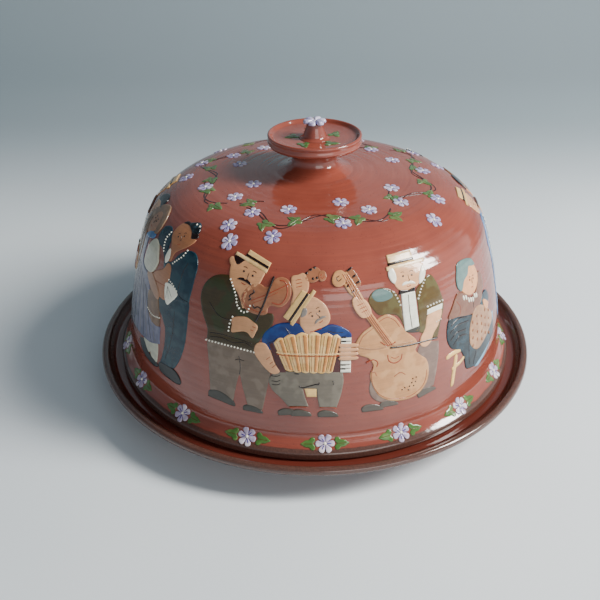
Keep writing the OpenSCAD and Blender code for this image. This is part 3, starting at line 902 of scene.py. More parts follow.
def accordionist():
    d = wall_drawing(0, BAND_STRETCH)
    trousers = slips["accordionist_trousers"]
    d.patch(slips["accordionist_stool"], [(-5.8, 21), (2, 21), (1.8, 15.4), (-4.2, 15.4)], 2,
        curved=False)
    d.patch(trousers, [
        (-21, 31.6), (-25.6, 29.5), (-27.8, 25.6), (-26, 20), (-20, 14), (-16, 9.2), (-16, 9.2),
        (-3.1, 9.2), (-3.1, 9.2), (-5.2, 15), (-6.6, 20.6), (-6.6, 20.6), (1.8, 20.6), (1.8, 20.6),
        (2.4, 15), (3.6, 8.9), (3.6, 8.9), (14.4, 8.6), (14.4, 8.6), (17, 17), (18.4, 25.6),
        (17.6, 31.4), (17.6, 31.4)], 3)
    d.line(ink, [(-9, 22.2), (-6.4, 21.4), (1.4, 23.6), (3, 23.4), (3.4, 25)], 0.7, 6)
    for y in (28.6, 25.4, 23.2):
        d.line(ink, [(-26, y), (-22.6, y - 0.3), (-20.4, y + 0.6)], 0.55, 5)
    d.line(ink, [(-12, 30.2), (-8.6, 30)], 0.8, 5)
    d.dots(ink, [(12, 25.4), (12.4, 23.8)], 0.5, 5)
    d.line(rust, [(-15, 8.4), (-8, 8.9), (-3.6, 8.6)], 0.7, 3)
    d.line(rust, [(4, 8.5), (9, 9), (14, 8)], 0.7, 3)
    shoe(d, slips["accordionist_shoes"], (-15.6, 3.8), 4, 13, 2)
    shoe(d, slips["accordionist_shoes"], (-7.6, 3.2), 0, 13, 3)
    shoe(d, slips["accordionist_shoes"], (9.2, 2.8), 0, 13, 2)
    shirt = slips["accordionist_shirt"]
    d.patch(shirt, [
        (-30.4, 46), (-31.6, 50.6), (-29.5, 55.4), (-23.2, 59.8), (-16.2, 61.2), (-9, 60.4),
        (-5.4, 56.6), (-3.6, 53.4), (-10, 52), (-20, 48.6), (-26.4, 44.6), (-29, 43.6)], 3)
    d.patch(shirt, [(-2.6, 53.6), (4.2, 57.6), (9, 60), (13.5, 59.8), (20.6, 56.8), (22.8, 53),
        (18, 51), (8, 51)], 3)
    d.line(ink, [(-28.6, 48.4), (-25, 49.6), (-22, 51.6)], 0.5, 5)
    d.line(ink, [(-17, 58), (-14.4, 54.6), (-13.4, 52)], 0.5, 5)
    d.line(ink, [(8, 56.6), (13, 55.4), (18, 55.6)], 0.5, 5)
    ends = slips["accordion_ends"]
    d.patch(ends, [(-27.4, 48.2), (-24.6, 49.4), (-16.6, 30.8), (-21.4, 30.6)], 4, curved=False)
    d.patch(ends, [(12.6, 53.6), (22.6, 53), (22.2, 31), (10.8, 30.8)], 3, curved=False)
    bellows = slips["accordion_bellows"]
    tops = [(-24.4, 49), (-18.4, 52), (-11, 53.8), (-3.4, 54.4), (4.4, 54.2), (11.6, 53.6), (16.4, 52.4)]
    feet = [(-17.4, 32.6), (-12.4, 31.8), (-7.4, 31.4), (-2.6, 31.2), (2.4, 31), (7.2, 31), (11.6, 31.6)]
    for i in range(len(tops) - 1):
        top, far_top, foot, far_foot = (np.array(p) for p in (tops[i], tops[i + 1], feet[i], feet[i + 1]))
        crest = (top + far_top) / 2 + (0, 1.4)
        dip = (foot + far_foot) / 2 - (0, 0.7)
        d.patch(bellows, [top, top, crest, far_top, far_top, far_foot, far_foot, dip, foot, foot], 5,
            0.45)
        fold = [top + (far_top - top) * 0.62 - (0, 0.2), top + (far_top - top) * 0.93 - (0, 0.6)]
        fold += [foot + (far_foot - foot) * 0.93 + (0, 0.5), foot + (far_foot - foot) * 0.62 + (0, 0.3)]
        d.patch(ochre, fold, 9, 0.2, False)
        for share in (0.3, 0.6):
            start = top + (far_top - top) * share - (0, 0.4)
            end = foot + (far_foot - foot) * share + (0, 0.4)
            d.line(slips["fiddle"], [start, end], 0.35, 9)
    for i in range(1, len(tops) - 1):
        d.line(ink, [tops[i], feet[i]], 0.6, 6)
    d.line(slips["bassist_hat"], [(-22.8, 43.4), (-16, 42.6), (-4, 42.4), (8, 42.4), (16, 42.6)], 0.9, 9)
    d.line(rust, [(-22.4, 42.2), (-16, 41.4), (-4, 41.2), (8, 41.2), (15.8, 41.4)], 0.6, 9)
    for i in range(9):
        y = 32.2 + i * 2.4
        d.patch(white, [(16.2, y - 1.1), (22.6, y - 1.1), (22.6, y + 1), (16.2, y + 1)], 5, 0.3, False)
        if i not in (2, 6):
            d.line(ink, [(16.4, y + 1.15), (19.8, y + 1.15)], 1.0, 7)
    d.dots(ink, [(15.4, 40.6), (15.2, 47)], 0.8, 6)
    skin = slips["accordionist_skin"]
    d.patch(skin, [
        (-34.8, 48.4), (-36.6, 43.4), (-33.6, 37.8), (-28.6, 32), (-24.4, 29.6), (-20.6, 31.4),
        (-23.6, 36), (-26.2, 43.2), (-29.4, 48.4)], 5)
    hand_lines(d, [(-27, 35.8), (-25.6, 33.6), (-29, 38.6)], (2.4, 1.8), 7)
    for i in range(4):
        y = 39.8 + i * 2.6
        d.patch(skin, [(15.4, y - 1), (21, y - 1.3), (26.4, y - 0.7), (26.6, y + 0.9), (20, y + 1.3),
            (15.4, y + 1)], 6, 0.5)
    d.patch(skin, [
        (-8.2, 60), (-8.4, 65), (-5.8, 71), (-1.6, 76.4), (3.6, 74.6), (7.8, 70.4), (9.8, 64.6),
        (8.4, 60.4), (5, 58.4), (0.8, 56.6), (-1.4, 53.4), (-4.6, 54.4), (-6.4, 57)], 4)
    boater(d, slips["accordionist_hat"], (-13.6, 59.8), (0.4, 80.2), 6.4, 5, (0.04, 0.86))
    d.patch(grey, [(-8, 64.6), (-4.6, 65.8), (-4, 69.4), (-6.6, 70)], 6, 0.3)
    calm_face(d, (1.2, 66.8), 15.4, 34, grey, 6)
    d.line(rust, [(-2.4, 55.8), (1.4, 56.8), (4.6, 58)], 0.5, 6)


# --- the bass player -------------------------------------------------------------------


def bassist():
    d = wall_drawing(0, BAND_STRETCH)
    d.patch(slips["bassist_trousers"], [
        (66, 46), (79.6, 49), (79.6, 49), (80, 39.6), (79, 29), (77.8, 19.8), (77.8, 19.8),
        (71, 17.6), (66, 16.6), (66, 16.6), (66, 30)], 0)
    d.patch(slips["bassist_trousers"], [(34.6, 22), (38, 32), (44, 32), (48, 12), (42, 11), (36, 15)], 0)
    shoe(d, slips["bassist_shoes"], (37.4, 6), 5, 14)
    shoe(d, slips["bassist_shoes"], (48, 8.6), 8, 12)
    shoe(d, slips["bassist_shoes"], (73.4, 15.2), 24, 13.4)
    jacket = slips["bassist_jacket"]
    d.patch(jacket, [
        (49.5, 79), (44, 81.6), (38.6, 81.4), (34, 78), (32.8, 73.6), (35.4, 69.4), (39.6, 65.6),
        (46, 66), (52, 64.4), (56.6, 56), (54.8, 62), (53.4, 70), (52.2, 76)], 1)
    d.patch(jacket, [
        (62.6, 80), (66, 85), (71.5, 90), (76.4, 85.4), (80.2, 77.6), (82, 71), (80.6, 62),
        (78.4, 50.4), (78.4, 50.4), (72, 52), (66, 54.6), (58, 55.2), (58, 55.2), (64.6, 58),
            (64.4, 70)], 1)
    # a pale blue-grey patch on the bassist's shoulder, made in the sitter's hair slip: a painted
    # highlight on the glaze, not part of the drawing
    d.patch(slips["sitter_hair"], [(34.4, 77.2), (36.4, 80.2), (41, 81.4), (46, 79.8), (47.6, 76.6),
        (43, 74), (37.4, 73.8)], 3, 0.2)
    d.patch(slips["fiddler_shoes"], [(57, 58), (65, 60.6), (66, 55), (57, 55)], 1)
    d.patch(slips["bassist_shirt_front"], [(53, 78.2), (61.8, 80), (63.4, 70), (65.4, 58.6),
        (56.2, 55.6), (54.4, 66)], 3, curved=False)
    d.line(ink, [(57.4, 78), (58.6, 68), (60.6, 57.6)], 0.55, 5)
    d.beads(white, [(48, 79.4), (50.6, 75.6), (52.6, 71.6)], 2.1, 0.6)
    d.beads(white, [(68, 86.6), (65.8, 81.4), (64.2, 75.4)], 2.1, 0.6)
    d.patch(white, [(70.2, 65.2), (80.8, 69), (81, 72.6), (70.4, 68.6)], 3, 0.35, False)
    d.beads(white, [(70.6, 70.4), (76, 72.6), (80.8, 74.2)], 2.1, 0.62)
    d.beads(white, [(77, 61), (80, 62.6)], 2.0, 0.5)
    skin = slips["bassist_skin"]
    d.patch(skin, [
        (71, 65.4), (80.2, 68.8), (79, 60), (75.6, 54), (73.8, 48.6), (70.4, 45.4), (66.8, 46.6),
        (66.6, 51), (69.4, 57)], 3)
    d.patch(skin, [
        (46.6, 92.4), (47.8, 85.6), (51, 81), (56, 79.4), (61, 81.4), (65, 86), (66.4, 92), (66.6, 97),
        (56, 97.6), (47, 95.2)], 2)
    d.patch(white, [(47.4, 93.6), (44.6, 91), (46, 86.4), (48.8, 84.4), (49.8, 88.6)], 4, 0.4)
    d.patch(white, [(66.4, 96), (68.6, 92), (67.4, 87), (64.6, 84.4), (64.2, 89)], 4, 0.4)
    boater(d, slips["bassist_hat"], (43.6, 92.8), (67.6, 99.2), 7.6, 4, (0.08, 0.74))
    calm_face(d, (56.8, 89.2), 16.6, 9, white)
    d.patch(ink, [(51.8, 80.6), (51.6, 77.8), (56.4, 79), (61.8, 80), (62, 82.8), (57, 80.6)], 5,
        0.4, False)
    bass = slips["double_bass"]
    d.patch(bass, [
        (26, 44.6), (25.4, 49), (29, 54.6), (34.6, 59), (39, 63.6), (44, 66), (49.4, 64.4),
        (53.4, 60), (57, 55.4), (63, 51), (65, 47), (63.6, 43.6), (67, 40.6), (71.4, 37.4),
        (73.4, 31), (72.4, 22.6), (67.2, 15.6), (59, 12), (49, 11.8), (41.4, 15), (36.8, 21.4),
        (34.8, 29), (36.6, 35), (33.4, 39.4), (28, 41.4)], 2)
    edge = [(36.6, 34), (35.8, 28), (37.2, 21.8), (41.6, 16.2), (48.4, 13.4), (58.6, 13.6), (66, 17),
        (70.8, 23), (71.8, 31)]
    d.line(rust, edge, 0.4, 4)
    d.line(rust, [(27, 47), (30, 53.2), (35.6, 57.6), (40, 62), (44.4, 64.2), (49, 62.6), (52.6, 58.4)],
        0.4, 4)
    d.line(rust, [(32, 36.4), (36.6, 38.6), (39.4, 36.6), (38.6, 34)], 0.9, 4)
    d.line(rust, [(45.4, 41.6), (46.6, 37.4), (50.6, 36.2), (54, 38.4), (54.8, 42)], 0.9, 4)
    d.line(rust, [(47.6, 40), (50.4, 39), (53, 40.4)], 0.5, 4)
    d.line(rust, [(35.2, 31.4), (38, 30.4), (38.8, 28.2)], 0.5, 4)
    d.line(rust, [(50, 27.4), (54, 30), (57.6, 28.4)], 0.5, 4)
    d.line(slips["sitter_basket"], [(26.8, 46.2), (36, 45), (45, 46.4)], 1.1, 4)
    d.line(slips["sitter_basket"], [(45, 46.4), (54, 47.8), (62.4, 49.4)], 1.1, 4)
    spots = [(62.6, 25.6), (64.8, 26.4), (62, 23), (64.4, 23.6), (60.6, 20.8), (63.4, 21), (57.6, 20),
        (60, 18.4), (55.8, 18.8)]
    d.dots(ink, spots, 0.55, 4)
    d.patch(bass, [(44.4, 46.8), (50.6, 47.6), (35.6, 66), (25.6, 82.4), (19.4, 91.4), (15.4, 90),
        (21.6, 80.8), (31.4, 64)], 4, curved=False)
    for across in (-1.2, 0.2, 1.6):
        d.line(rust, [(46.6 + across, 47.4), (33 + across, 65.4), (18 + across, 89.8)], 0.45, 7)
    d.line(rust, [(40.6, 49.6), (45, 47.2), (50.4, 49.4)], 0.6, 6)
    d.patch(bass, [(10.6, 86.6), (12.4, 91), (16.6, 92), (19.4, 88.6), (18.2, 84), (14.4, 82.2),
        (11.4, 83.6)], 5)
    d.line(ink, [(16.6, 87.2), (14.6, 85.6), (13.4, 87.4), (15.2, 88.8)], 0.6, 7)
    d.patch(bass, [(17.6, 84.4), (21, 78.6), (25.4, 76), (26, 79), (22, 82.6)], 3)
    d.patch(slips["fiddle"], [(19.2, 91.6), (23.4, 92.6), (26.4, 88.4), (28.2, 84.4), (25.8, 82),
        (23, 84.6)], 3)
    pegs = [((19.8, 91.4), (22.6, 93.8)), ((22.8, 87.8), (25, 89.4)), ((25, 84.4), (27.6, 85.8)),
            ((19.6, 82.2), (21, 84)), ((22.4, 78.8), (24, 80.4))]
    for start, end in pegs:
        d.line(ink, [start, end], 1.2, 7)
    d.patch(skin, [(22.8, 75), (23.4, 71), (26, 66.6), (29.6, 64), (34, 65.6), (34.2, 69.6), (31, 74.6),
        (27, 75.4), (24.6, 76.8)], 6)
    hand_lines(d, [(29.4, 73), (30.8, 71), (32, 69)], (-3.6, -1.6), 8)
    d.line(ink, [(46.6, 45.6), (58, 46.8), (70, 49.2), (78.4, 51)], 1.1, 5, thick=0.45)


# --- the dancing pair --------------------------------------------------------------------


def partner():
    d = wall_drawing(-50)
    suit = slips["partner_suit"]
    d.patch(suit, [
        (-5, 52), (4, 56), (14, 60), (25, 61), (26.6, 52), (27.4, 42), (27, 31), (24, 20), (19.6, 12),
        (19.6, 12), (11, 9), (3.4, 8), (3.4, 8), (6, 16), (7.4, 25), (6.4, 34), (2, 40), (-3, 44)], 0)
    d.line(ink, [(14, 50), (15, 38), (13.6, 26), (9.6, 14)], 0.5, 2)
    d.patch(suit, [
        (-4.4, 70), (-8, 78), (-14, 82), (-22, 84), (-25.4, 88), (-24.4, 94.6), (-18, 97.2),
            (-12.6, 94.6),
        (-8.6, 90), (-7, 84.4), (-2.4, 78.4), (2, 79), (6, 86), (12.4, 91), (20, 90.6), (25.4, 83.4),
        (26, 73), (25.2, 59.4), (25.2, 59.4), (16, 57.6), (8, 54.4), (3, 60), (1, 67)], 1)
    d.line(ink, [(16.6, 84), (15, 74), (14, 64.6)], 0.5, 3)
    d.line(ink, [(13.4, 62.6), (19, 60.6), (24.6, 61)], 0.5, 3)
    d.patch(slips["partner_shoes"], [(2.6, 6.4), (3.6, 9), (11, 10.6), (20.8, 11.2), (27, 6.8),
        (25, 3.2), (16.6, 2.4), (6, 3)], 2)
    skin = slips["partner_skin"]
    d.patch(skin, [
        (-6.2, 88), (-10.8, 92.6), (-11.6, 98), (-8.8, 103.2), (-2.6, 104), (3, 101.8), (7, 98),
        (11.6, 98.4), (11, 95), (8, 91), (3.4, 87), (1.2, 84.4), (0.6, 79), (-2.4, 78), (-4.6, 84)], 2)
    d.patch(ink, [(-8.6, 103), (-5.6, 105.6), (1.6, 104.4), (8.8, 102.4), (11.8, 100), (7.6, 97.6),
        (3.6, 101), (-2.4, 103.4)], 4, 0.25)
    d.patch(slips["partner_beret"], [(-3, 104.4), (1, 107.4), (4.6, 108), (8.4, 105), (9.4, 101.6),
        (5, 101)], 5)
    d.dots(white, [(6.4, 106), (3, 106.2)], 0.6, 8)
    calm_face(d, (-1.6, 95.4), 15, 26)
    d.patch(white, [(-5.6, 85), (-3, 84.6), (-1.2, 79), (-4.4, 75.4), (-6.6, 79)], 3, 0.3)
    d.beads(white, [(-13.2, 94), (-14.4, 89.6), (-13, 85), (-10.6, 81.4)], 2.0, 0.6)
    d.beads(white, [(11, 90.2), (9.6, 85.6), (6.8, 82), (3.4, 78.2)], 2.0, 0.6)
    d.beads(white, [(3.4, 67), (8, 65.6), (13, 63.4)], 1.9, 0.6)
    d.patch(white, [(0, 63), (4.4, 65), (10, 64.4), (14.4, 61.6), (12.4, 57.6), (8.6, 53.4),
        (5.6, 50.8), (2, 54)], 3)
    for start in ((3.4, 54.4), (6.4, 55), (9.4, 57.4)):
        d.line(grey, [start, (3.4, 62.6)], 0.4, 5)
    d.patch(skin, [
        (-21, 59.4), (-14, 66.6), (-6, 70.6), (-1.4, 76.6), (3, 75.4), (4, 68), (2, 62.6), (3, 53.8),
        (-0.4, 51.8), (-9.8, 52.6), (-18, 52.4)], 2)
    d.line(rust, [(-18, 60), (-9, 60.4), (1, 61.4)], 0.5, 4)
    d.line(rust, [(-14, 55), (-8, 56.6)], 0.45, 4)


def dancer():
    d = wall_drawing(-66)
    dress = slips["dancer_dress"]
    linen = slips["dancer_linen"]
    for foot in ((34, 4.4), (24, 6.4)):
        d.patch(linen, [(foot[0] - 9, 19), (foot[0] + 3, 23), (foot[0] + 4, foot[1] + 5), (foot[0] - 2,
            foot[1] + 3)], 0)
    d.patch(slips["partner_shoes"], [(10, 11), (18, 14), (26, 10), (36, 9.4), (41, 8.6), (36, 5),
        (24, 4), (14, 6)], 1)
    d.patch(dress, [
        (-14, 78), (-5, 79), (-5, 62), (10, 58.6), (17.6, 50), (19, 39), (27, 34), (38, 35.4), (38, 35.4),
        (39.6, 24), (39.6, 24), (28, 18), (10, 14), (-12, 11), (-30, 12), (-30, 12), (-31, 32),
            (-27, 52), (-18, 68)], 1)
    for k in range(11):
        foot = -26 + k * 6
        start = -15 + k * 2.7
        low = 13 + max(0, foot - 4) * 0.32
        d.line(ink if k % 2 else grey, [(start, 60 - k), ((start + foot) / 2, 38), (foot, low)], 0.5, 3)
    d.patch(slips["drummer_waistcoat"], [(15.6, 50), (26.4, 54.4), (32, 50), (36.8, 36), (27, 33),
        (18.6, 38)], 2)
    d.beads(white, [(19, 38.8), (27, 38), (35.6, 41)], 2.0, 0.55)
    d.patch(linen, [(-1.6, 66), (1, 76), (6, 83), (12, 83.6), (18, 79), (21, 72), (16.4, 63.4),
        (7.4, 60.4), (0, 61.6)], 4, 0.6)
    d.line(grey, [(3, 63), (9, 66), (15, 64.4)], 0.5, 6)
    d.patch(slips["dancer_skin"], [(-3, 84), (-8, 80), (-14, 82), (-18, 90), (-14, 98), (-6, 99),
        (-1, 92)], 3)
    d.patch(slips["dancer_skin"], [(10, 63), (16, 64), (30, 57), (30, 51), (22, 52), (10, 58)], 5)
    calm_face(d, (-10, 90.6), 14, -8, level=6)
    d.patch(slips["dancer_hair"], [
        (-28, 56), (-27, 72), (-28, 88), (-20, 99), (-8, 103.6), (1.6, 97), (4.6, 88), (0, 84),
            (-2.6, 92),
        (-8, 97), (-14, 95), (-17, 88), (-14.6, 80), (-13.6, 68), (-19, 54)], 4)
    for k in range(3):
        d.line(ink, [(-25 + k * 3, 60), (-23 + k * 2.6, 76), (-22 + k * 2.4, 90)], 0.4, 6)
    d.patch(slips["flautist_coat"], [(-12, 78.6), (-4, 79), (3, 82), (2, 85.4), (-6, 83.4)], 4, 0.3)


# --- the seated woman ------------------------------------------------------------------


def sitter():
    d = wall_drawing(56)
    stool = slips["sitter_stool"]
    d.line(stool, [(-40, 25.4), (-32, 25.2), (-25, 23.6)], 3.2, 1, thick=0.5)
    d.line(stool, [(-30.4, 23), (-33.6, 14), (-37.2, 3.6)], 3.4, 1, thick=0.5)
    d.line(stool, [(-36, 15.4), (-28, 15.6), (-22, 17.6)], 2.2, 1, thick=0.4)
    skirt = slips["sitter_skirt"]
    d.patch(skirt, [
        (-33.8, 48.4), (-24, 46), (-9.6, 40.6), (0, 36), (20, 30), (25, 22), (24.6, 11.6), (24.6, 11.6),
        (8, 8), (-10.6, 4), (-10.6, 4), (-19, 6.4), (-22, 9), (-23.4, 17), (-26.6, 23.6), (-34.6, 29.6),
            (-37.4, 38)], 2)
    folds = [
        [(-33, 44), (-24, 45), (-14, 41)], [(-34.6, 40), (-26, 41.4), (-14, 38.6)], [(-35, 35),
            (-28, 37), (-18, 34.6)],
        [(-33, 30.6), (-26, 33.4), (-18, 31)], [(-14.6, 30), (-17, 20), (-18, 9)], [(-8, 14), (-12, 9),
            (-13, 6)]]
    for fold in folds:
        d.line(ink, fold, 1.1, 4)
    d.patch(sky_blue, [
        (-11, 4.6), (-4, 10), (8, 12), (22, 24), (27, 27), (27, 20), (20, 11), (8, 5.6), (0, 3),
            (-7, 1.8)], 0)
    bodice = slips["sitter_bodice"]
    d.patch(bodice, [
        (-18.4, 60.8), (-23.6, 60), (-28, 56), (-33.6, 49.6), (-24, 46), (-10, 41), (2, 41), (9.6, 48),
        (12.6, 55), (10.8, 62), (6.4, 63), (3, 56.6), (-5, 51)], 3)
    d.line(ink, [(-6, 52), (-5.6, 47.6), (-6.6, 44)], 0.9, 5)
    d.line(rust, [(-24, 57), (-21, 51), (-23, 47)], 0.5, 5)
    d.patch(slips["partner_suit"], [(3.6, 40), (8, 45), (13, 47.6), (17.8, 45.6), (20, 40), (13.6, 37)],
        3)
    basket = slips["sitter_basket"]
    d.patch(basket, [
        (-10.4, 38.4), (-6.4, 42), (-1, 43), (8, 39.4), (17, 33), (22.6, 27.4), (22, 22), (14, 18.4),
        (4, 15.2), (-6, 14), (-13, 18.6), (-15.6, 25), (-14, 33)], 4)
    for row in range(4):
        for step in range(5):
            spot = (-10.6 + step * 6.4 - row * 0.8, 34.6 - row * 5.2 + (step % 2) * 2.2 - step * 0.8)
            d.line(slips["fiddle"], [spot, (spot[0] + 1.4, spot[1] + 1.6)], 1.5, 9, thick=0.25)
    skin = slips["sitter_skin"]
    d.patch(skin, [
        (-4, 72), (2.6, 70.6), (5.4, 66), (6, 61), (3.2, 56.4), (-2.4, 53.2), (-9, 54), (-14.6, 58),
        (-17, 62.4), (-13, 66), (-7, 70)], 3)
    d.patch(skin, [(8, 43), (13, 41), (17, 37), (13.6, 34), (8.6, 37.6)], 7)
    d.patch(slips["sitter_hair"], [
        (-18.4, 74), (-15.6, 78.6), (-7.6, 78.4), (1, 75.4), (4.4, 70), (0, 70.4), (-4, 71.6),
            (-6.8, 67.6),
        (-12.4, 65.4), (-16.4, 60.4), (-20, 63.8), (-20.4, 69)], 4)
    calm_face(d, (-3.6, 62.8), 13.6, -10, level=6)
    for k in range(7):
        top = np.array((-16.4 + k * 2.6, 58.4 - k * 0.9 - (3.4 if 1 < k < 5 else 1.2)))
        d.line(white, [top, top + (0.6, -3.4)], 1.7, 6, thick=0.4)


# --- the flute player and the drummer ----------------------------------------------------


def flautist():
    d = wall_drawing(83)
    d.patch(slips["flautist_coat"], [
        (-12, 60), (-15, 66), (-10, 78), (-3, 84), (8, 84), (14, 74), (14, 58), (14.6, 34), (15.4, 10),
        (15.4, 10), (3.4, 9), (3.4, 9), (1.4, 27), (-1.8, 9), (-1.8, 9), (-13.4, 9), (-13.4, 9),
            (-11.6, 34)], 1)
    d.line(ink, [(1, 82), (2, 66), (1.4, 48), (1.4, 28)], 0.5, 3)
    d.line(ink, [(-10, 46), (2, 44.6), (13.6, 46)], 0.8, 3)
    d.beads(white, [(3.6, 80), (4.4, 66), (4, 50)], 3.2, 0.7)
    shoe(d, slips["partner_shoes"], (-7, 6), -4, 13)
    shoe(d, slips["partner_shoes"], (10, 6), -4, 13)
    skin = slips["flautist_skin"]
    d.patch(skin, [(-6.6, 98), (-7, 91), (-3, 85.4), (2, 84), (7, 87), (9, 93), (8.6, 99)], 2)
    d.patch(skin, [(12, 76), (17, 79), (20, 84), (17.6, 86.6), (14, 83), (11, 80)], 3)
    calm_face(d, (1, 93), 15, 4)
    boater(d, slips["flautist_hat"], (-11, 98.6), (12, 101.4), 6.4, 4, (0.16, 0.84))
    d.line(slips["flute"], [(4, 87.2), (15, 86.4), (28, 84.8)], 2.2, 6, thick=0.6)
    d.dots(ink, [(14, 86.6), (18, 86.2), (22, 85.8)], 0.5, 10, 0.2)


def drummer():
    d = wall_drawing(99)
    d.patch(slips["drummer_breeches"], [
        (-10, 43), (11, 43), (13, 26), (13.6, 9), (13.6, 9), (4, 9), (4, 9), (1, 27), (-3, 9), (-3, 9),
        (-12.6, 9), (-12.6, 9), (-11, 26)], 0)
    shoe(d, slips["drummer_breeches"], (-8, 5.6), 0, 13)
    shoe(d, slips["drummer_breeches"], (10, 5.6), 0, 13)
    d.patch(slips["drummer_waistcoat"], [
        (-12.4, 60), (-13, 70), (-11, 78), (-4, 82.6), (7, 82.6), (13.4, 75), (14.6, 60), (11, 42),
            (-10, 42)], 1)
    d.beads(white, [(-2, 81), (2.4, 70), (3, 60)], 2.4, 0.6)
    skin = slips["drummer_skin"]
    d.patch(skin, [(-6.6, 97), (-7, 90), (-3, 84), (2, 82), (7, 85), (9, 91), (8.6, 97)], 2)
    d.patch(skin, [(-16.6, 66), (-14, 58), (-11, 54), (-8.6, 57), (-12, 66)], 3)
    calm_face(d, (1, 91), 15, -4)
    d.patch(slips["drummer_hat"], [(-9, 95), (-7, 101), (0, 104.4), (7, 103), (11, 96), (1, 97)], 4)
    drum = slips["drum"]
    ring = [(2 + 9.6 * math.cos(a), 52 + 10 * math.sin(a)) for a in np.linspace(0, 2 * math.pi, 13)[:-1]]
    d.patch(drum, ring, 4, 0.5)
    hoop = [(2 + 8.2 * math.cos(a), 52 + 8.6 * math.sin(a)) for a in np.linspace(0, 2 * math.pi, 17)]
    d.line(rust, hoop, 1.0, 10)
    d.line(ink, [(-12, 58), (-4, 60), (4, 56)], 1.1, 10)


for figure in (fiddler, accordionist, bassist, partner, dancer, sitter, flautist, drummer):
    figure()

# --- flowers, leaves and the vine ----------------------------------------------------------

PETALS = 6
VINE_R = 76
VINE_SWING = 7
VINE_WAVES = 8
FOOT_FLOWERS = 18
FOOT_START = 2.9


def lobe(start, length, width, turn):
    """A rounded petal outline, from near the flower's middle outwards."""
    half = [(0.0, 0.12), (0.35, 0.34), (0.7, 0.5), (0.93, 0.36), (1.0, 0.0)]
    side = [(start + length * a, width * b) for a, b in half]
    outline = side + [(x, -y) for x, y in reversed(side[:-1])]
    c, s = math.cos(turn), math.sin(turn)
    return [(x * c - y * s, x * s + y * c) for x, y in outline]


petal_shapes = [
    cut(curve_through(lobe(0.9, 4.7, 3.5, math.radians(k * 360 / PETALS)), True, 0.7), 1.3)
    for k in range(PETALS)
]
leaf_outline = [
    (0.2, 0), (-0.9, 1.5), (-0.2, 3.1), (1.4, 3.0), (2.4, 1.9), (4.2, 1.7), (6.9, 0), (6.9, 0),
    (4.2, -1.7), (2.4, -1.9), (1.4, -3.0), (-0.2, -3.1), (-0.9, -1.5)]
leaf_shape = cut(curve_through(leaf_outline, True), 1.4)


def flower(d, slip, level=2, centre=0.9, thick=0.26):
    """Six pale petals with violet veins and a white bead in the middle."""
    for k, shape in enumerate(petal_shapes):
        d.solid(slip, shape, level + k % 2, thick)
        a = math.radians(k * 360 / PETALS)
        way = np.array((math.cos(a), math.sin(a)))
        d.line(violet, [way * 1.1, way * 3.9], 0.8, level + 2, thick=0.12)
        gap = np.array((math.cos(a + math.pi / PETALS), math.sin(a + math.pi / PETALS)))
        d.line(violet, [gap * 1.2, gap * 3.6], 1.0, 0, thick=0.26)
    d.dots(white, [(0, 0)], centre, level + 3, 0.4)


def leaf(d, slip, level=1):
    d.solid(slip, leaf_shape, level, 0.26)
    d.line(slips["bassist_jacket"], [(0.4, 0), (5.4, 0)], 0.4, level + 2, thick=0.15)


def round_crown(radius, degrees):
    a = math.radians(degrees)
    return np.array((radius * math.sin(a), -radius * math.cos(a)))


def vine_at(degrees):
    return VINE_R + VINE_SWING * math.cos(math.radians(VINE_WAVES * (degrees + 16)))


crown_flower_spots = [
    (-142, 63), (-120, 70), (-105, 56), (-108, 88), (-74, 78), (-60, 48), (-52, 67), (-36, 92),
    (-32, 75), (-31, 102), (-16, 93), (-15, 64), (13, 80), (18, 55), (30, 70), (50, 74), (52, 98),
    (62, 59), (67, 90), (96, 78), (108, 96), (113, 62), (137, 63), (-92, 92), (-130, 96), (125, 92),
    (155, 80), (170, 96), (178, 60), (-160, 78), (-165, 98)]

crown = Drawing([cover_skin.from_above()])
for turn, radius in crown_flower_spots:
    flower(crown.moved(round_crown(radius, turn), turn * 3, 0.98), slips["crown_flowers"])

stem = slips["vine_stem"]
for k in range(VINE_WAVES // 2):
    start = k * 90 - 44
    first = [round_crown(vine_at(a), a) for a in range(start, start + 88, 5)]
    crown.line(stem, first, 1.2, 0, thick=0.2)
    twist = [
        round_crown(vine_at(a) + 3.0 * math.sin(math.radians(15 * (a - start))), a)
        for a in range(start + 6, start + 80, 4)]
    crown.line(stem, twist, 1.0, 0, thick=0.25)
for k in range(VINE_WAVES * 3):
    turn = 7 + k * 15
    out = 1 if k % 2 == 0 else -1
    at = round_crown(vine_at(turn) + out * 3.5, turn)
    base = turn - 90 + out * 65
    for swing, size in ((-44, 1.12), (28, 1.32)):
        leaf(crown.moved(at, base + swing, size), slips["vine_leaves"])
    if k % 3 == 0:
        tip = round_crown(vine_at(turn) + out * 9, turn + 5)
        bow = round_crown(vine_at(turn) + out * 6.5, turn + 1)
        crown.line(stem, [round_crown(vine_at(turn), turn), bow, tip], 0.9, 1)

for k in range(FOOT_FLOWERS):
    turn = FOOT_START + k * 360 / FOOT_FLOWERS
    d = Drawing([cover_skin.on_wall(turn, FEET_Y - BAND_DROP)])
    flower(d.moved((0, 0), k * 17, 1.1), slips["foot_flowers"])
    leaf(d.moved((7.2, 0), 0, 1.25), slips["foot_leaves"])
    leaf(d.moved((-7.2, 0), 180, 1.25), slips["foot_leaves"])

# --- the flower on the finial and the leaves in the knob's dish ---------------------------

finial_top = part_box("finial")[1].z / MM
dish_line = spaced(softened(half_section("knob")), 0.5)
dish_line = dish_line[: int(np.argmax(dish_line[:, 1])) + 1]


def on_finial(flat, height):
    radius = np.hypot(flat[:, 0], flat[:, 1])
    cup = finial_top + 0.6 + 0.09 * radius - 0.012 * radius ** 2
    z = np.where(height < 0, cup - 0.5, cup + height)
    return np.stack([flat[:, 0], flat[:, 1], z], axis=1) * MM


def in_dish(flat, height):
    radius = np.hypot(flat[:, 0], flat[:, 1])
    z = np.interp(radius, dish_line[:, 0], dish_line[:, 1]) + height
    return np.stack([flat[:, 0], flat[:, 1], z], axis=1) * MM


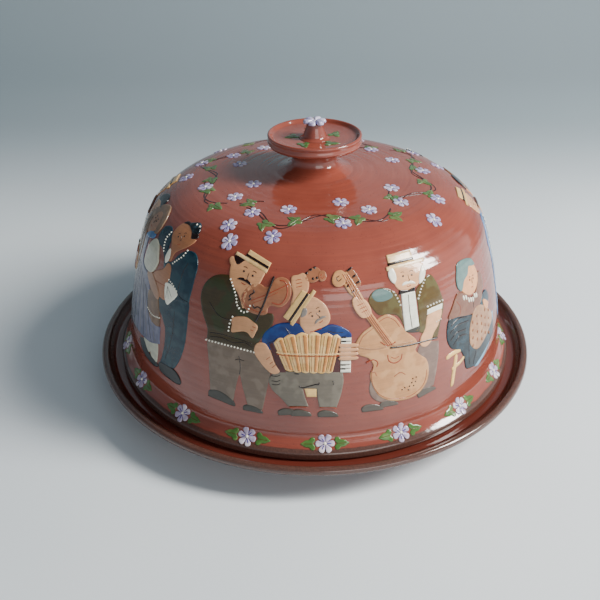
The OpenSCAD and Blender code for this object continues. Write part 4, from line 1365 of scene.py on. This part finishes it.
flower(Drawing([on_finial], turn=12, size=1.42), slips["finial_flower"], 2, 0.9, 1.5)
for k in range(5):
    turn = 36 + k * 72
    leaf(Drawing([in_dish], round_crown(13.6, turn), turn - 40, 1.4), slips["finial_leaves"])

for slip in Slip.every:
    slip.make()

# --- floor, wall behind, and light -----------------------------------------------------------


def sweep_finish():
    paper = Finish("paper_sweep")
    place = paper.add("TexCoord", out="Object")
    clouds = paper.noise(place, 3.0, 2.0)
    _, back, _ = paper.split(place)
    card = paper.mix(clouds.rise(0.3, 0.7), tone(212, 220, 226), tone(220, 228, 232))
    # painted shade: the sweep is one paper, painted darker towards the back and up the wall
    colour = paper.mix(back.rise(0.12, 0.6), card, tone(146, 160, 167))
    return paper.close(colour, 0.62 + clouds * 0.1, paper.noise(place, 400.0), 0.05)


floor_front = -2.2
wall_y = 1.5
bend_r = 0.7
profile = [(floor_front, 0.0)]
for k in range(13):
    a = math.radians(k * 7.5)
    profile.append((wall_y - bend_r + bend_r * math.sin(a), bend_r - bend_r * math.cos(a)))
profile.append((wall_y, 2.6))
sweep_points = [(side, y, z) for y, z in profile for side in (-2.6, 2.6)]
sweep_faces = [(2 * k, 2 * k + 1, 2 * k + 3, 2 * k + 2) for k in range(len(profile) - 1)]
built("sweep", sweep_points, sweep_faces, sweep_finish())


def soft_light(name, turn, height, away, wide, tall, power, colour=(1, 1, 1)):
    """A soft window of light: degrees round from the front, degrees up, metres away."""
    lamp = bpy.data.lights.new(name, "AREA")
    lamp.shape = "RECTANGLE"
    lamp.size = wide
    lamp.size_y = tall
    lamp.energy = power
    lamp.color = colour
    light = bpy.data.objects.new(name, lamp)
    a, e = math.radians(turn), math.radians(height)
    spot = Vector((math.sin(a) * math.cos(e), -math.cos(a) * math.cos(e), math.sin(e))) * away
    aim = Vector((0, 0, 0.1))
    light.location = aim + spot
    light.rotation_euler = spot.to_track_quat("Z", "Y").to_euler()
    bpy.context.scene.collection.objects.link(light)


soft_light("window", 79, 38, 1.5, 0.36, 0.72, 50, (1.0, 0.97, 0.93))
soft_light("fill", 25, 20, 2.2, 1.4, 0.8, 9, (1.0, 0.97, 0.94))


class Sky(Finish):
    """The light all round, made node by node as the finishes are."""

    def __init__(self, name):
        world = bpy.data.worlds.new(name)
        bpy.context.scene.world = world
        world.use_nodes = True
        self.tree = world.node_tree
        self.tree.nodes.clear()
        x, _, z = self.split(self.add("TexCoord", out="Generated"))
        right = x.rise(-0.9, 0.7)
        low = self.mix(right, tone(138, 148, 156), tone(232, 236, 238))
        high = self.mix(right, tone(46, 50, 56), tone(112, 120, 126))
        colour = self.mix(z.rise(0, 0.75), low, high)
        glow = self.add("Background", None, {"Color": colour, "Strength": 1.5})
        self.finish_with("OutputWorld", glow)


Sky("studio")
